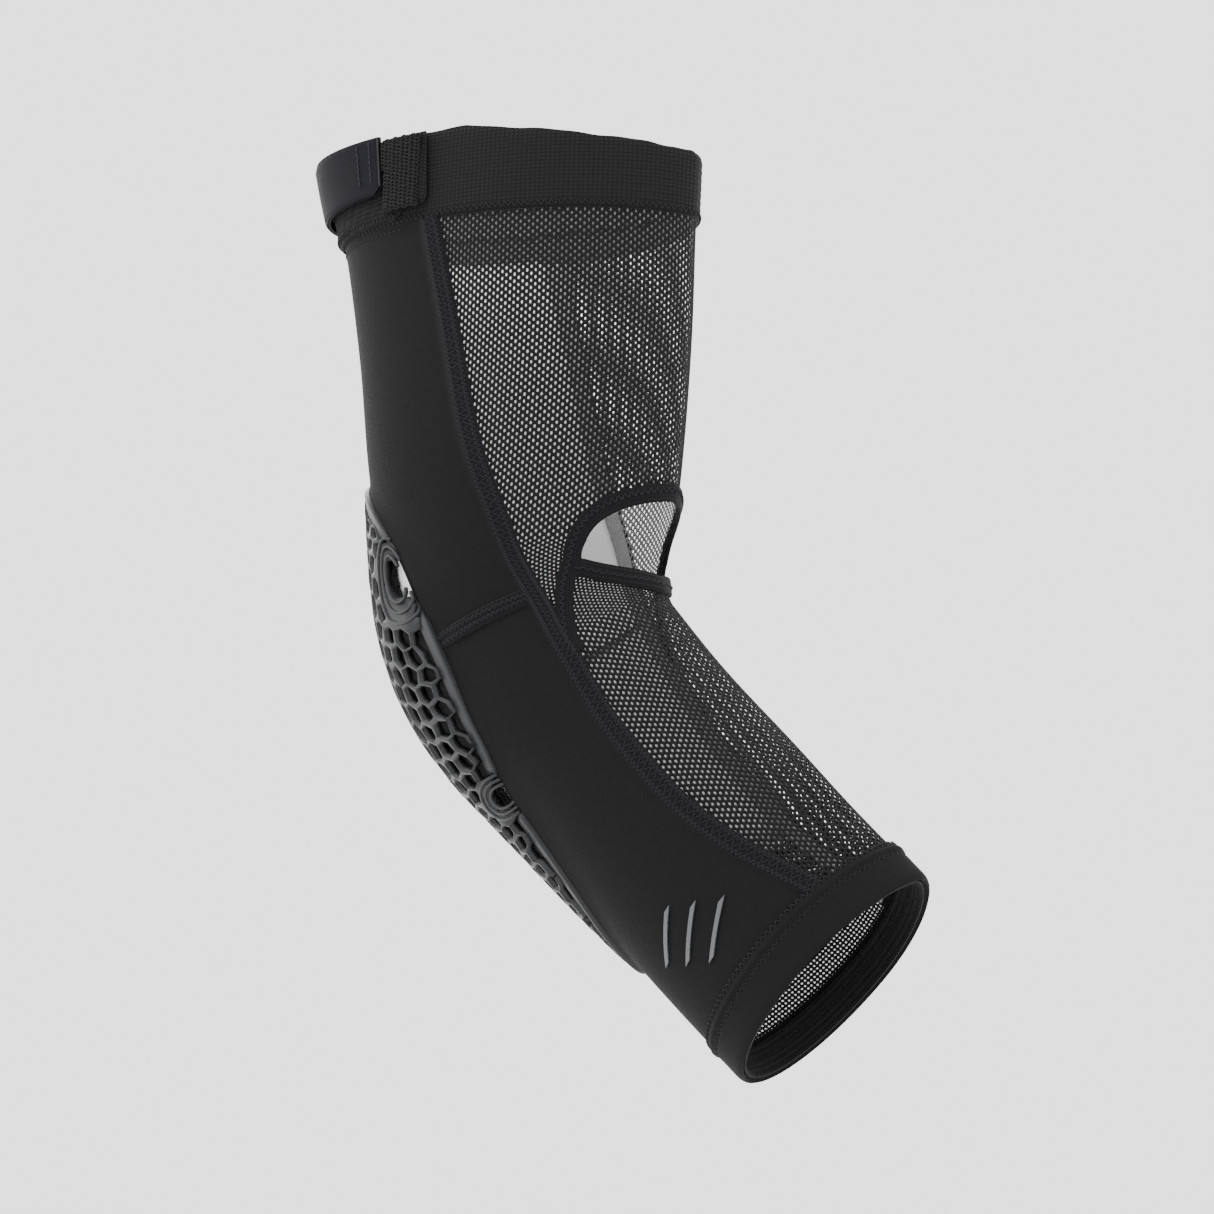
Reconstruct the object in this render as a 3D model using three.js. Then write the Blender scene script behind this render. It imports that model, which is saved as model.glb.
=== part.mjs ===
// Elbow guard sleeve: a pre-bent knitted sleeve with a padded, latticed guard over the elbow point,
// open mesh in front, a vent in the crook of the arm, an elastic upper band with a hook-and-loop strap,
// and a folded cuff at the forearm end.
//
// Millimetres. The origin is the centre of the elbow. +Z runs up the upper arm, +X is the front of the
// arm, -X is the back with the guard, and -Y is the side that carries the strap.
//
// Every sub-part is a patch of one sleeve surface, given a thickness. A place on the sleeve is (s, angle):
// s is the distance along the arm from the elbow centre, less than 0 up the arm and more than 0 down it,
// and angle goes round the arm in degrees, 0 in front, 180 at the back, and less than 0 on the strap side.
import * as THREE from "three";

// ---- Driving dimensions ----
const upperRim = -172;
const rimTilt = 9;
const cuffRim = 165;
const preBendDegrees = 46;
const elbowBlend = 30;
const frontFoldSharpness = 1.3;

const bandWidth = 31;
const cuffWidth = 16;
const seamWidth = 6.4;
const elbowSeamWidth = 4.6;
const bindingWidth = 5.4;
const edgeGap = 0.45;
const faceGap = 0.3;

const knitThickness = 1.7;
const meshThickness = 1.2;
const bandThickness = 2.2;
const seamThickness = 2.3;
const bindingThickness = 2.2;
const linerThickness = 1.1;
const foamShare = 0.55;
const rimTrimWidth = 3.2;
const rimTrimThickness = 1.6;

const rowStep = 8;

// The sleeve's half-depth in front of and behind its centre line, and its half-width, along the arm.
const sectionStations = [
  { s: -172, front: 66, back: 75, side: 38 },
  { s: -140, front: 64, back: 67, side: 40 },
  { s: -100, front: 62, back: 60, side: 41 },
  { s: -60, front: 58, back: 55, side: 42 },
  { s: -20, front: 52, back: 46, side: 42 },
  { s: 20, front: 47, back: 40, side: 41 },
  { s: 60, front: 43, back: 41, side: 38 },
  { s: 100, front: 42, back: 44, side: 35 },
  { s: 130, front: 41, back: 45, side: 32 },
  { s: 165, front: 41, back: 45, side: 29 },
];

// Degrees from the front at which the side seam runs, down the arm.
const seamStations = [
  { s: -172, angle: 107 },
  { s: -100, angle: 93 },
  { s: -60, angle: 84 },
  { s: -25, angle: 70 },
  { s: 5, angle: 63 },
  { s: 30, angle: 64 },
  { s: 60, angle: 71 },
  { s: 95, angle: 74 },
  { s: 120, angle: 70 },
  { s: 150, angle: 58 },
];

// Half-width of the guard's window in degrees either side of the back, down the arm.
const windowStations = [
  { s: -60, angle: 5 },
  { s: -52, angle: 29 },
  { s: -40, angle: 46 },
  { s: -25, angle: 62 },
  { s: -8, angle: 70 },
  { s: 10, angle: 70 },
  { s: 28, angle: 61 },
  { s: 46, angle: 46 },
  { s: 66, angle: 38 },
  { s: 86, angle: 29 },
  { s: 100, angle: 17 },
  { s: 111, angle: 4 },
];

// How far the guard stands proud of the sleeve along its middle.
const guardHeightStations = [
  { s: -60, height: 4.5 },
  { s: -25, height: 8 },
  { s: 10, height: 10.5 },
  { s: 60, height: 9 },
  { s: 111, height: 4.5 },
];

// The vent in the crook of the arm: its sides, the top of its arch and its lower lip.
const ventHalfAngle = 45;
const ventArchTop = -45;
const ventCorner = -13;
const ventLipMiddle = 15;
const archSteps = 22;
const legEnd = 32;

// The strap across the upper band, and the places that its pieces reach round the arm.
const webbingAngles = [-115, -101];
const tabAngles = [-214, -116];
const hookAngles = [-212, -160];
const loopPatchAngles = [-226, -110];
const tabSpan = [-172, -152];
const loopPatchSpan = [-168, -142];
const strapThickness = 1.8;
const hookThickness = 1;
const patchThickness = 1.2;

const barCount = 3;
const barLength = 17;
const barWidth = 3;
const barPitch = 8;

// ---- The sleeve surface ----
const down = new THREE.Vector3(0, 0, -1);
const bend = THREE.MathUtils.degToRad(preBendDegrees);
const forearm = new THREE.Vector3(Math.sin(bend), 0, -Math.cos(bend));

/** A smooth curve through stations: a cubic whose slope at a station follows its two neighbours. */
function along(stations, key, s) {
  const last = stations.length - 1;
  const slope = (i) => {
    const before = stations[Math.max(i - 1, 0)];
    const after = stations[Math.min(i + 1, last)];
    return (after[key] - before[key]) / (after.s - before.s);
  };
  let i = 0;
  while (i < last - 1 && s > stations[i + 1].s) i += 1;
  const a = stations[i];
  const b = stations[i + 1];
  const span = b.s - a.s;
  const t = THREE.MathUtils.clamp((s - a.s) / span, 0, 1);
  const t2 = t * t;
  const t3 = t2 * t;
  return (
    (2 * t3 - 3 * t2 + 1) * a[key] +
    (t3 - 2 * t2 + t) * span * slope(i) +
    (3 * t2 - 2 * t3) * b[key] +
    (t3 - t2) * span * slope(i + 1)
  );
}

/** Centre line: straight up the upper arm, straight down the forearm, and an arc between them. */
function centreLine(s) {
  const t = THREE.MathUtils.clamp((s + elbowBlend) / (2 * elbowBlend), 0, 1);
  const centre = down.clone().multiplyScalar(-elbowBlend * (1 - t) ** 2);
  centre.addScaledVector(forearm, elbowBlend * t * t);
  centre.addScaledVector(down, Math.min(s + elbowBlend, 0));
  centre.addScaledVector(forearm, Math.max(s - elbowBlend, 0));
  const tangent = down.clone().lerp(forearm, t).normalize();
  const front = new THREE.Vector3(-tangent.z, 0, tangent.x);
  return { centre, front };
}

/** A point of the sleeve's inner face. */
function sleevePoint(s, degrees) {
  const angle = THREE.MathUtils.degToRad(degrees);
  const cosine = Math.cos(angle);
  const sine = Math.sin(angle);
  const depth = along(sectionStations, cosine > 0 ? "front" : "back", s);
  const sharpness = cosine > 0 ? frontFoldSharpness : 1;
  const sideways = Math.sign(sine) * Math.abs(sine) ** sharpness;
  const { centre, front } = centreLine(s);
  const point = centre.addScaledVector(front, depth * cosine);
  point.y += along(sectionStations, "side", s) * sideways;
  return point;
}

/** A point a given height outside the sleeve's inner face, along the face's own normal. */
function raisedPoint(s, degrees, height) {
  const small = 0.5;
  const alongArm = sleevePoint(s + small, degrees).sub(sleevePoint(s - small, degrees));
  const round = sleevePoint(s, degrees + small).sub(sleevePoint(s, degrees - small));
  const outward = alongArm.cross(round).normalize();
  return sleevePoint(s, degrees).addScaledVector(outward, height);
}

/** Degrees round the arm that a length in mm covers at a place on the sleeve. */
function degreesFor(length, s, degrees) {
  return length / sleevePoint(s, degrees).distanceTo(sleevePoint(s, degrees + 1));
}

// ---- Solids made from patches of the surface ----

/**
 * One closed solid from a grid of places. places[i][j] is {s, angle}, low and high give the two heights
 * at a place, and keep(i, j) says which cells of the grid are solid. A ring joins its last column to its
 * first.
 */
function patchGeometry(places, low, high, { keep = () => true, ring = false } = {}) {
  const rows = places.length;
  const columns = places[0].length;
  const positions = [];
  for (const height of [low, high]) {
    for (const row of places) {
      for (const place of row) {
        positions.push(...raisedPoint(place.s, place.angle, height(place.s, place.angle)).toArray());
      }
    }
  }
  const lastCell = ring ? columns : columns - 1;
  const inner = (i, j) => i * columns + (j % columns);
  const outer = (i, j) => rows * columns + inner(i, j);
  const solid = (i, j) => {
    const column = ring ? (j + columns) % columns : j;
    return i >= 0 && i < rows - 1 && column >= 0 && column < lastCell && keep(i, column);
  };
  const faces = [];
  const quad = (a, b, c, d) => faces.push(a, b, c, a, c, d);
  for (let i = 0; i < rows - 1; i += 1) {
    for (let j = 0; j < lastCell; j += 1) {
      if (!solid(i, j)) continue;
      quad(outer(i, j), outer(i, j + 1), outer(i + 1, j + 1), outer(i + 1, j));
      quad(inner(i, j), inner(i + 1, j), inner(i + 1, j + 1), inner(i, j + 1));
      if (!solid(i - 1, j)) quad(inner(i, j), inner(i, j + 1), outer(i, j + 1), outer(i, j));
      if (!solid(i + 1, j)) quad(inner(i + 1, j + 1), inner(i + 1, j), outer(i + 1, j), outer(i + 1, j + 1));
      if (!solid(i, j - 1)) quad(inner(i + 1, j), inner(i, j), outer(i, j), outer(i + 1, j));
      if (!solid(i, j + 1)) quad(inner(i, j + 1), inner(i + 1, j + 1), outer(i + 1, j + 1), outer(i, j + 1));
    }
  }
  return compact(positions, outwardFaces(positions, faces));
}

/** The faces, turned round if they enclose a negative volume. */
function outwardFaces(positions, faces) {
  const corner = (k) => new THREE.Vector3().fromArray(positions, faces[k] * 3);
  let volume = 0;
  for (let k = 0; k < faces.length; k += 3) {
    volume += corner(k).dot(corner(k + 1).cross(corner(k + 2)));
  }
  return volume > 0 ? faces : faces.reverse();
}

/** A buffer geometry that keeps only the points that its faces use. */
function compact(positions, faces) {
  const used = new Map();
  const kept = [];
  const index = faces.map((point) => {
    if (!used.has(point)) {
      used.set(point, used.size);
      kept.push(...positions.slice(point * 3, point * 3 + 3));
    }
    return used.get(point);
  });
  const geometry = new THREE.BufferGeometry();
  geometry.setAttribute("position", new THREE.Float32BufferAttribute(kept, 3));
  geometry.setIndex(index);
  geometry.computeVertexNormals();
  return geometry;
}

/** Evenly spaced values from first to last. */
function spread(first, last, steps) {
  return Array.from({ length: steps + 1 }, (_, i) => first + ((last - first) * i) / steps);
}

/** Rows down the arm, evenly spaced at about the row step. */
function rowsBetween(first, last, step = rowStep) {
  return spread(first, last, Math.max(1, Math.round((last - first) / step)));
}

const constant = (value) => () => value;

// ---- Lines that the pieces share ----
const bandEdge = upperRim + bandWidth;
const cuffEdge = cuffRim - cuffWidth;
const archFoot = ventCorner - 3;
const guardTop = windowStations[0].s;
const guardTip = windowStations[windowStations.length - 1].s;

/** The side seam's angle, moved by a length in mm towards the back (more than 0) or the front. */
function seamAngle(s, shift) {
  const middle = along(seamStations, "angle", s);
  return middle + degreesFor(shift, s, middle);
}

/** The guard window's edge, as an angle from the front, moved by a length in mm towards the front. */
function windowAngle(s, shift) {
  const edge = 180 - along(windowStations, "angle", s);
  return edge - degreesFor(shift, s, edge);
}

/** How far s lies towards the vent's lower lip at an angle, which dips lowest in front. */
function ventLip(angle) {
  const across = Math.min(Math.abs(angle) / ventHalfAngle, 1);
  return THREE.MathUtils.lerp(ventLipMiddle, ventCorner, across ** 1.4);
}

/** The vent's half-angle at a height, an arch that closes at its top, widened by a length in mm. */
function ventAngle(s, widen) {
  const top = ventArchTop - widen;
  const rise = THREE.MathUtils.clamp((ventCorner - s) / (ventCorner - top), 0, 1);
  const arch = Math.sqrt(1 - rise ** 4.2);
  return (ventHalfAngle + degreesFor(widen, s, ventHalfAngle)) * arch;
}

// ---- Sub-parts ----
const group = new THREE.Group();

function add(name, geometry, color, roughness) {
  const material = new THREE.MeshStandardMaterial({ color, roughness, metalness: 0 });
  const mesh = new THREE.Mesh(geometry, material);
  mesh.name = name;
  group.add(mesh);
}

const blackKnit = 0x232324;
const blackMesh = 0x1b1b1c;
const bandGrey = 0x2c2c2e;
const seamGrey = 0x29292b;
const tabGrey = 0x303035;
const guardGrey = 0x4c4c4e;
const foamGrey = 0x38383a;
const reflectiveGrey = 0x8f9094;
const sides = [
  { name: "lateral", sign: -1 },
  { name: "medial", sign: 1 },
];

/** A ring of places in the band. The band's rim lies lower in front by rimTilt, and its foot is level. */
function bandRing(s) {
  const share = (bandEdge - s) / bandWidth;
  const drop = (angle) => rimTilt * share * Math.max(0, Math.cos(THREE.MathUtils.degToRad(angle)));
  return spread(-180, 170, 35).map((angle) => ({ s: s + drop(angle), angle }));
}

/** The elastic band round the upper rim, and the lines of silicone grip inside it. */
function upperBand() {
  const places = spread(upperRim, bandEdge - edgeGap, 3).map(bandRing);
  const band = patchGeometry(places, constant(0), constant(bandThickness), { ring: true });
  add("upper_elastic_band", band, bandGrey, 0.9);
  const gripHeights = [upperRim + bandWidth * 0.3, upperRim + bandWidth * 0.62];
  gripHeights.forEach((middle, index) => {
    const line = [middle - 2, middle + 2].map(bandRing);
    const grip = patchGeometry(line, constant(-faceGap - 0.7), constant(-faceGap), { ring: true });
    add(["upper_silicone_line", "lower_silicone_line"][index], grip, 0x5a5a5c, 0.35);
  });
}

/** The strap: webbing sewn to the band, the tab it ends in, the hook under the tab and its loop patch. */
function strap() {
  const bandFace = bandThickness + faceGap;
  const piece = (span, angles, steps, low, thickness) => {
    const places = spread(span[0], span[1], 2).map((s) =>
      spread(angles[0], angles[1], steps).map((angle) => ({ s, angle }))
    );
    return patchGeometry(places, constant(low), constant(low + thickness));
  };
  const patchFace = bandFace + patchThickness + faceGap;
  const tabFace = patchFace + hookThickness + faceGap;
  const patch = piece(loopPatchSpan, loopPatchAngles, 12, bandFace, patchThickness);
  add("loop_patch", patch, 0x2b2b2d, 1);
  const webbing = piece([upperRim, bandEdge - 3], webbingAngles, 2, patchFace, strapThickness + 1);
  add("strap_webbing", webbing, 0x2a2a2c, 0.9);
  add("strap_hook_patch", piece([-169, -155], hookAngles, 6, patchFace, hookThickness), 0x202022, 0.8);
  add("strap_tab", piece(tabSpan, tabAngles, 11, tabFace, strapThickness), tabGrey, 0.6);
}

/** The knitted back panel above the elbow seam: round the back between the side seams, cut for the guard. */
function upperBackPanel() {
  const aboveWindow = rowsBetween(bandEdge + edgeGap, guardTop);
  const besideWindow = rowsBetween(guardTop, -elbowSeamWidth / 2 - edgeGap).slice(1);
  const rows = [...aboveWindow, ...besideWindow];
  backPanel("upper_back_panel", rows, (s) => s < guardTop - 0.1);
}

/** The knitted back panel below the elbow seam, down to the cuff. */
function lowerBackPanel() {
  const besideWindow = rowsBetween(elbowSeamWidth / 2 + edgeGap, guardTip);
  const belowWindow = rowsBetween(guardTip, cuffEdge - edgeGap).slice(1);
  const rows = [...besideWindow, ...belowWindow];
  backPanel("lower_back_panel", rows, (s) => s > guardTip - 0.1);
}

function backPanel(name, rows, closed) {
  const flank = 4;
  const places = rows.map((s) => {
    const seam = seamAngle(s, seamWidth / 2 + edgeGap);
    const edge = windowAngle(s, edgeGap);
    const near = spread(seam, edge, flank);
    return [...near, ...near.map((angle) => 360 - angle).reverse()].map((angle) => ({ s, angle: -angle }));
  });
  const keep = (i, j) => j !== flank || closed((rows[i] + rows[i + 1]) / 2);
  add(name, patchGeometry(places, constant(0), constant(knitThickness), { keep }), blackKnit, 0.85);
}

/** A place on the vent's arch, t from 0 at its top to 1 at its foot, widened by a length in mm. */
function archPlace(t, widen) {
  const turn = (t * Math.PI) / 2;
  const s = THREE.MathUtils.lerp(archFoot, ventArchTop - widen, Math.cos(turn) ** 0.77);
  return { s, angle: ventAngle(s, widen) };
}

/** The front edge of the binding's leg, which runs from the arch's foot down to meet the side seam. */
function legInner(s) {
  const share = THREE.MathUtils.clamp((s - archFoot) / (legEnd - archFoot), 0, 1);
  return THREE.MathUtils.lerp(ventAngle(archFoot, 0), seamAngle(s, -seamWidth / 2 - 2), share ** 1.15);
}

/** The back edge of the binding's leg: its full width, until the side seam cuts it off. */
function legOuter(s) {
  const full = legInner(s) + degreesFor(bindingWidth, s, ventHalfAngle);
  return Math.min(full, seamAngle(s, -seamWidth / 2 - edgeGap));
}

/** The open mesh in front of the upper arm, with the vent's arch cut out of its lower edge. */
function upperMesh() {
  const widen = bindingWidth + 2 * edgeGap;
  const tipEnd = -8;
  const halfSteps = archSteps / 2;
  const arch = spread(0, 1, halfSteps).map((t) => archPlace(t, widen));
  const top = arch[0];
  const straight = rowsBetween(bandEdge + edgeGap, top.s).slice(0, -1);
  const besideLeg = (s) => legOuter(s) + 2 * degreesFor(edgeGap, s, 60);
  const tip = rowsBetween(archFoot, tipEnd, 4).map((s) => ({ s, angle: besideLeg(s) }));
  const beside = [...arch.slice(1, -1), ...tip];
  const above = [...straight, top.s].map((s) => ({ s, angle: beside[0].angle }));
  const edges = [...above, ...beside];
  const flank = 3;
  const places = edges.map(({ s, angle }) => {
    const seam = seamAngle(s, -seamWidth / 2 - edgeGap);
    const near = spread(-seam, -angle, flank);
    return [...near, 0, ...near.map((other) => -other).reverse()].map((other) => ({ s, angle: other }));
  });
  const inFront = (j) => j === flank || j === flank + 1;
  const keep = (i, j) => !inFront(j) || i < straight.length;
  const mesh = patchGeometry(places, constant(0.2), constant(0.2 + meshThickness), { keep });
  add("upper_mesh_panel", mesh, blackMesh, 0.9);
}

/** The open mesh in front of the forearm, from the vent's lower lip to the cuff. */
function lowerMesh() {
  const places = spread(0, 1, 18).map((share) =>
    spread(-1, 1, 10).map((across) => {
      const lip = ventLip(across * ventHalfAngle) + bindingWidth + 2 * edgeGap;
      const s = THREE.MathUtils.lerp(lip, cuffEdge - edgeGap, share);
      const besideLeg = legInner(s) - degreesFor(2 * edgeGap, s, 60);
      const side = s < legEnd ? besideLeg : seamAngle(s, -seamWidth / 2 - edgeGap);
      return { s, angle: across * side };
    })
  );
  const mesh = patchGeometry(places, constant(0.2), constant(0.2 + meshThickness));
  add("lower_mesh_panel", mesh, blackMesh, 0.9);
}

/** The folded binding round the vent's arch, and the one along its lower lip. */
function ventBindings() {
  const arch = spread(-1, 1, archSteps).map((t) =>
    [0, bindingWidth].map((widen) => {
      const { s, angle } = archPlace(Math.abs(t), widen);
      return { s, angle: Math.sign(t) * angle };
    })
  );
  const leg = (sign) =>
    rowsBetween(archFoot, legEnd, 6)
      .slice(1)
      .map((s) => [legInner(s), legOuter(s)].map((angle) => ({ s, angle: sign * angle })));
  const strip = [...leg(-1).reverse(), ...arch, ...leg(1)];
  const lip = spread(-1, 1, 14).map((across) =>
    [edgeGap, bindingWidth].map((drop) => {
      const angle = across * (ventHalfAngle - 1);
      return { s: ventLip(angle) + drop, angle };
    })
  );
  const low = constant(0);
  const high = constant(bindingThickness);
  add("vent_binding", patchGeometry(strip, low, high), seamGrey, 0.85);
  add("vent_lip_binding", patchGeometry(lip, low, high), seamGrey, 0.85);
}

/** The flatlock seams: one down each side, and one across each side at the elbow. */
function flatlockSeams() {
  const low = constant(0.1);
  const high = constant(seamThickness);
  for (const { name, sign } of sides) {
    const rows = rowsBetween(bandEdge + edgeGap, cuffEdge - edgeGap);
    const sideSeam = rows.map((s) =>
      [-seamWidth / 2, seamWidth / 2].map((shift) => ({ s, angle: sign * seamAngle(s, shift) }))
    );
    add(`side_seam_${name}`, patchGeometry(sideSeam, low, high), seamGrey, 0.9);
    const crossing = [-elbowSeamWidth / 2, elbowSeamWidth / 2].map((s) => {
      const angles = spread(seamAngle(s, seamWidth / 2 + edgeGap), windowAngle(s, edgeGap), 4);
      return angles.map((angle) => ({ s, angle: sign * angle }));
    });
    add(`elbow_seam_${name}`, patchGeometry(crossing, low, high), seamGrey, 0.9);
  }
}

/** Height of the guard over the sleeve: low at the window's edge, rounded up to its middle. */
function guardHeight(s, angle) {
  const fromBack = Math.abs(((angle + 720) % 360) - 180);
  const across = Math.min(fromBack / along(windowStations, "angle", s), 1);
  const middle = along(guardHeightStations, "height", s);
  return 3.4 + (middle - 3.4) * Math.sqrt(1 - across ** 2);
}

/** Rows and columns over the guard, inset from the window's edge. */
function guardPlaces(inset, rowCount, columnCount) {
  return spread(guardTop + inset, guardTip - inset, rowCount).map((s) =>
    spread(-1, 1, columnCount).map((across) => {
      const half = 180 - windowAngle(s, -inset);
      return { s, angle: 180 + across * half };
    })
  );
}

/** The guard: lining, impact foam, moulded lattice, and the trim round the window's edge. */
function guard() {
  const foamTop = (s, angle) => guardHeight(s, angle) * foamShare;
  const liner = guardPlaces(edgeGap, 20, 8);
  add("pad_lining", patchGeometry(liner, constant(0), constant(linerThickness)), blackMesh, 0.9);
  const foam = guardPlaces(edgeGap, 20, 8);
  add("impact_foam", patchGeometry(foam, constant(linerThickness + faceGap), foamTop), foamGrey, 0.8);
  const inset = rimTrimWidth + 2 * edgeGap;
  const lattice = guardPlaces(inset, 29, 13);
  const keep = (i, j) => i % 2 === 0 || j % 2 === 0;
  const shell = patchGeometry(lattice, (s, angle) => foamTop(s, angle) + faceGap, guardHeight, { keep });
  add("guard_lattice", shell, guardGrey, 0.5);
  const rows = spread(guardTop + edgeGap, guardTip - edgeGap, 26);
  const onward = rows.map((s) => ({ s, sign: 1 }));
  const back = rows.slice().reverse().map((s) => ({ s, sign: -1 }));
  const outline = [...onward, ...back];
  const trim = [edgeGap, rimTrimWidth].map((inward) =>
    outline.map(({ s, sign }) => {
      const held = THREE.MathUtils.clamp(s, guardTop + inward, guardTip - inward);
      return { s: held, angle: 180 + sign * (180 - windowAngle(held, -inward)) };
    })
  );
  const trimLow = (s, angle) => foamTop(s, angle) + 6 * faceGap;
  const trimHigh = (s, angle) => trimLow(s, angle) + rimTrimThickness;
  add("guard_rim", patchGeometry(trim, trimLow, trimHigh, { ring: true }), guardGrey, 0.45);
}

/** The folded cuff at the forearm end, and the ribbed band inside it. */
function forearmCuff() {
  const ringOf = (first, last, low, thickness) => {
    const places = spread(first, last, 2).map((s) => spread(-180, 170, 35).map((angle) => ({ s, angle })));
    return patchGeometry(places, constant(low), constant(low + thickness), { ring: true });
  };
  add("forearm_cuff", ringOf(cuffEdge + edgeGap, cuffRim, 0, 2.4), blackKnit, 0.85);
  add("cuff_grip_band", ringOf(cuffRim - 9, cuffRim - 0.6, -faceGap - 1, 1), bandGrey, 0.7);
}

/** Three slanted reflective bars on the strap side of the forearm. */
function reflectiveBars() {
  for (let index = 0; index < barCount; index += 1) {
    const middle = 122 + index * barPitch * 0.8;
    const places = spread(-0.5, 0.5, 4).map((share) => {
      const s = middle + share * barLength * 0.55;
      const centre = -121 + index * 10 - share * 22;
      const half = degreesFor(barWidth / 2, s, centre);
      return [centre - half, centre + half].map((angle) => ({ s, angle }));
    });
    const low = knitThickness + faceGap;
    const bar = patchGeometry(places, constant(low), constant(low + 0.5));
    add(`reflective_bar_${index + 1}`, bar, reflectiveGrey, 0.35);
  }
}

upperBand();
strap();
upperBackPanel();
lowerBackPanel();
upperMesh();
lowerMesh();
ventBindings();
flatlockSeams();
guard();
forearmCuff();
reflectiveBars();

export default group;
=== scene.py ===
# %% [markdown]
# # An elbow guard sleeve
#
# This lesson builds the soft side of a pull-on elbow guard: a pre-bent knitted sleeve with open mesh in
# front, a vent in the crook of the arm, a moulded lattice over a foam pad at the elbow point, a strap at
# the top and a folded cuff at the forearm end. The rigid frame, with every size and joint, is loaded
# first, and each piece made here is laid over its counterpart in that frame. Everything is in metres in
# the scene, and sleeve measurements are written in millimetres, as a pattern cutter would.

# %% Load the frame
import bpy
import numpy as np
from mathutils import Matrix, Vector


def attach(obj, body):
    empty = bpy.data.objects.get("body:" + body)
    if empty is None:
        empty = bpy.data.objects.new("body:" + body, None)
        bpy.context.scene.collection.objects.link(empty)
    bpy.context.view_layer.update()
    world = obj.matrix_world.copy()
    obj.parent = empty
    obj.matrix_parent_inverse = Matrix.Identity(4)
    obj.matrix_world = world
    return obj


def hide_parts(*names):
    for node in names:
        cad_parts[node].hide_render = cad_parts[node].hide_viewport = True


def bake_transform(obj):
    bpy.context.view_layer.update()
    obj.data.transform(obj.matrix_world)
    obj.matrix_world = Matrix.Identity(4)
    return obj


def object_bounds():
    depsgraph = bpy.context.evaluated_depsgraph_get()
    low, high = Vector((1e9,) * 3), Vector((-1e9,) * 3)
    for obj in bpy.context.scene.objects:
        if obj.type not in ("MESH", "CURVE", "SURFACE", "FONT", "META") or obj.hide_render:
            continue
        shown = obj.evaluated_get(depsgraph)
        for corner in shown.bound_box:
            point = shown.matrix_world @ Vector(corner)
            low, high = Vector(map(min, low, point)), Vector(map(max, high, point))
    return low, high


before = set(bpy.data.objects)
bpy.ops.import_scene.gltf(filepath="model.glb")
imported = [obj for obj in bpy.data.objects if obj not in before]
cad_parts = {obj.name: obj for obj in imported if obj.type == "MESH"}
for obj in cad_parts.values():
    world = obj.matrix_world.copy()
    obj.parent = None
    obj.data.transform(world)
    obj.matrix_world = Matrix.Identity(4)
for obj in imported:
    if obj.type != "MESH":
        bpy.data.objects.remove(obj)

MM = 0.001
frame_low, frame_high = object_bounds()
print("frame box, m:", np.round(frame_low, 3), np.round(frame_high, 3))

# %% [markdown]
# ## Camera, floor and light
#
# The sleeve is seen from its strap side, a little from the front and slightly from below, through a long
# lens. The backdrop is a plain white floor that lies well under the sleeve, which gives an even pale ground
# from every side. Large soft lamps lift a highlight off the dark cloth.

# %% Camera and studio
def aim(thing, place, target):
    """Put a thing at a place, with its -Z axis towards the target and its top upwards."""
    from mathutils import Vector
    thing.location = place
    thing.rotation_euler = (Vector(target) - Vector(place)).to_track_quat("-Z", "Y").to_euler()


def view_from(azimuth, elevation, distance, target):
    """A point at a distance from the target; azimuth 0 is on the -Y side, and elevation is above level."""
    a, e = np.radians([azimuth, elevation])
    away = np.array([np.sin(a) * np.cos(e), -np.cos(a) * np.cos(e), np.sin(e)])
    return np.array(target) + distance * away


camera_target = (0.0322, 0, 0.011)
camera = bpy.data.objects.new("camera", bpy.data.cameras.new("camera"))
bpy.context.collection.objects.link(camera)
camera.data.sensor_width = 36
camera.data.lens = 115
aim(camera, view_from(30, -8, 1.3, camera_target), camera_target)
bpy.context.scene.camera = camera

LAMPS = [
    ("key_lamp", 2, 48, 1.5, 1.1, 15),
    ("front_lamp", 88, 18, 1.5, 1.0, 10),
    ("back_lamp", 232, 30, 1.4, 1.0, 15),
    ("left_lamp", 300, 8, 1.5, 0.9, 9),
]
for name, azimuth, elevation, distance, size, power in LAMPS:
    lamp = bpy.data.objects.new(name, bpy.data.lights.new(name, "AREA"))
    lamp.data.size = size
    lamp.data.energy = power
    bpy.context.collection.objects.link(lamp)
    aim(lamp, view_from(azimuth, elevation, distance, camera_target), camera_target)

world = bpy.data.worlds.new("studio")
world.use_nodes = True
world.node_tree.nodes["Background"].inputs["Color"].default_value = (1, 1, 1, 1)
world.node_tree.nodes["Background"].inputs["Strength"].default_value = 2.4
bpy.context.scene.world = world

floor_z = frame_low[2] - 0.16
floor_corners = [(-6, -6, floor_z), (6, -6, floor_z), (6, 6, floor_z), (-6, 6, floor_z)]
floor_mesh = bpy.data.meshes.new("floor")
floor_mesh.from_pydata(floor_corners, [], [(0, 1, 2, 3)])
floor = bpy.data.objects.new("floor", floor_mesh)
bpy.context.collection.objects.link(floor)
paper = bpy.data.materials.new("backdrop_paper")
paper.use_nodes = True
paper.node_tree.nodes["Principled BSDF"].inputs["Base Color"].default_value = (0.93, 0.93, 0.93, 1)
paper.node_tree.nodes["Principled BSDF"].inputs["Roughness"].default_value = 0.9
floor_mesh.materials.append(paper)
print("camera at", np.round(camera.location, 3), "floor at", round(floor_z, 3))

# %% [markdown]
# ## One surface for the whole sleeve
#
# Every panel of a sleeve lies on one tube that bends at the elbow. The tube is a function of two numbers:
# `s`, millimetres along the arm from the elbow centre (less than 0 up the arm), and `angle`, degrees round
# the arm (0 in front, 180 at the back, less than 0 on the strap side). Panels, seams and stitches are then
# all drawn on the same two numbers, which is why they meet without any fitting. A few stations down the
# arm give its depth and width, and a smooth curve runs through them.

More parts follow.
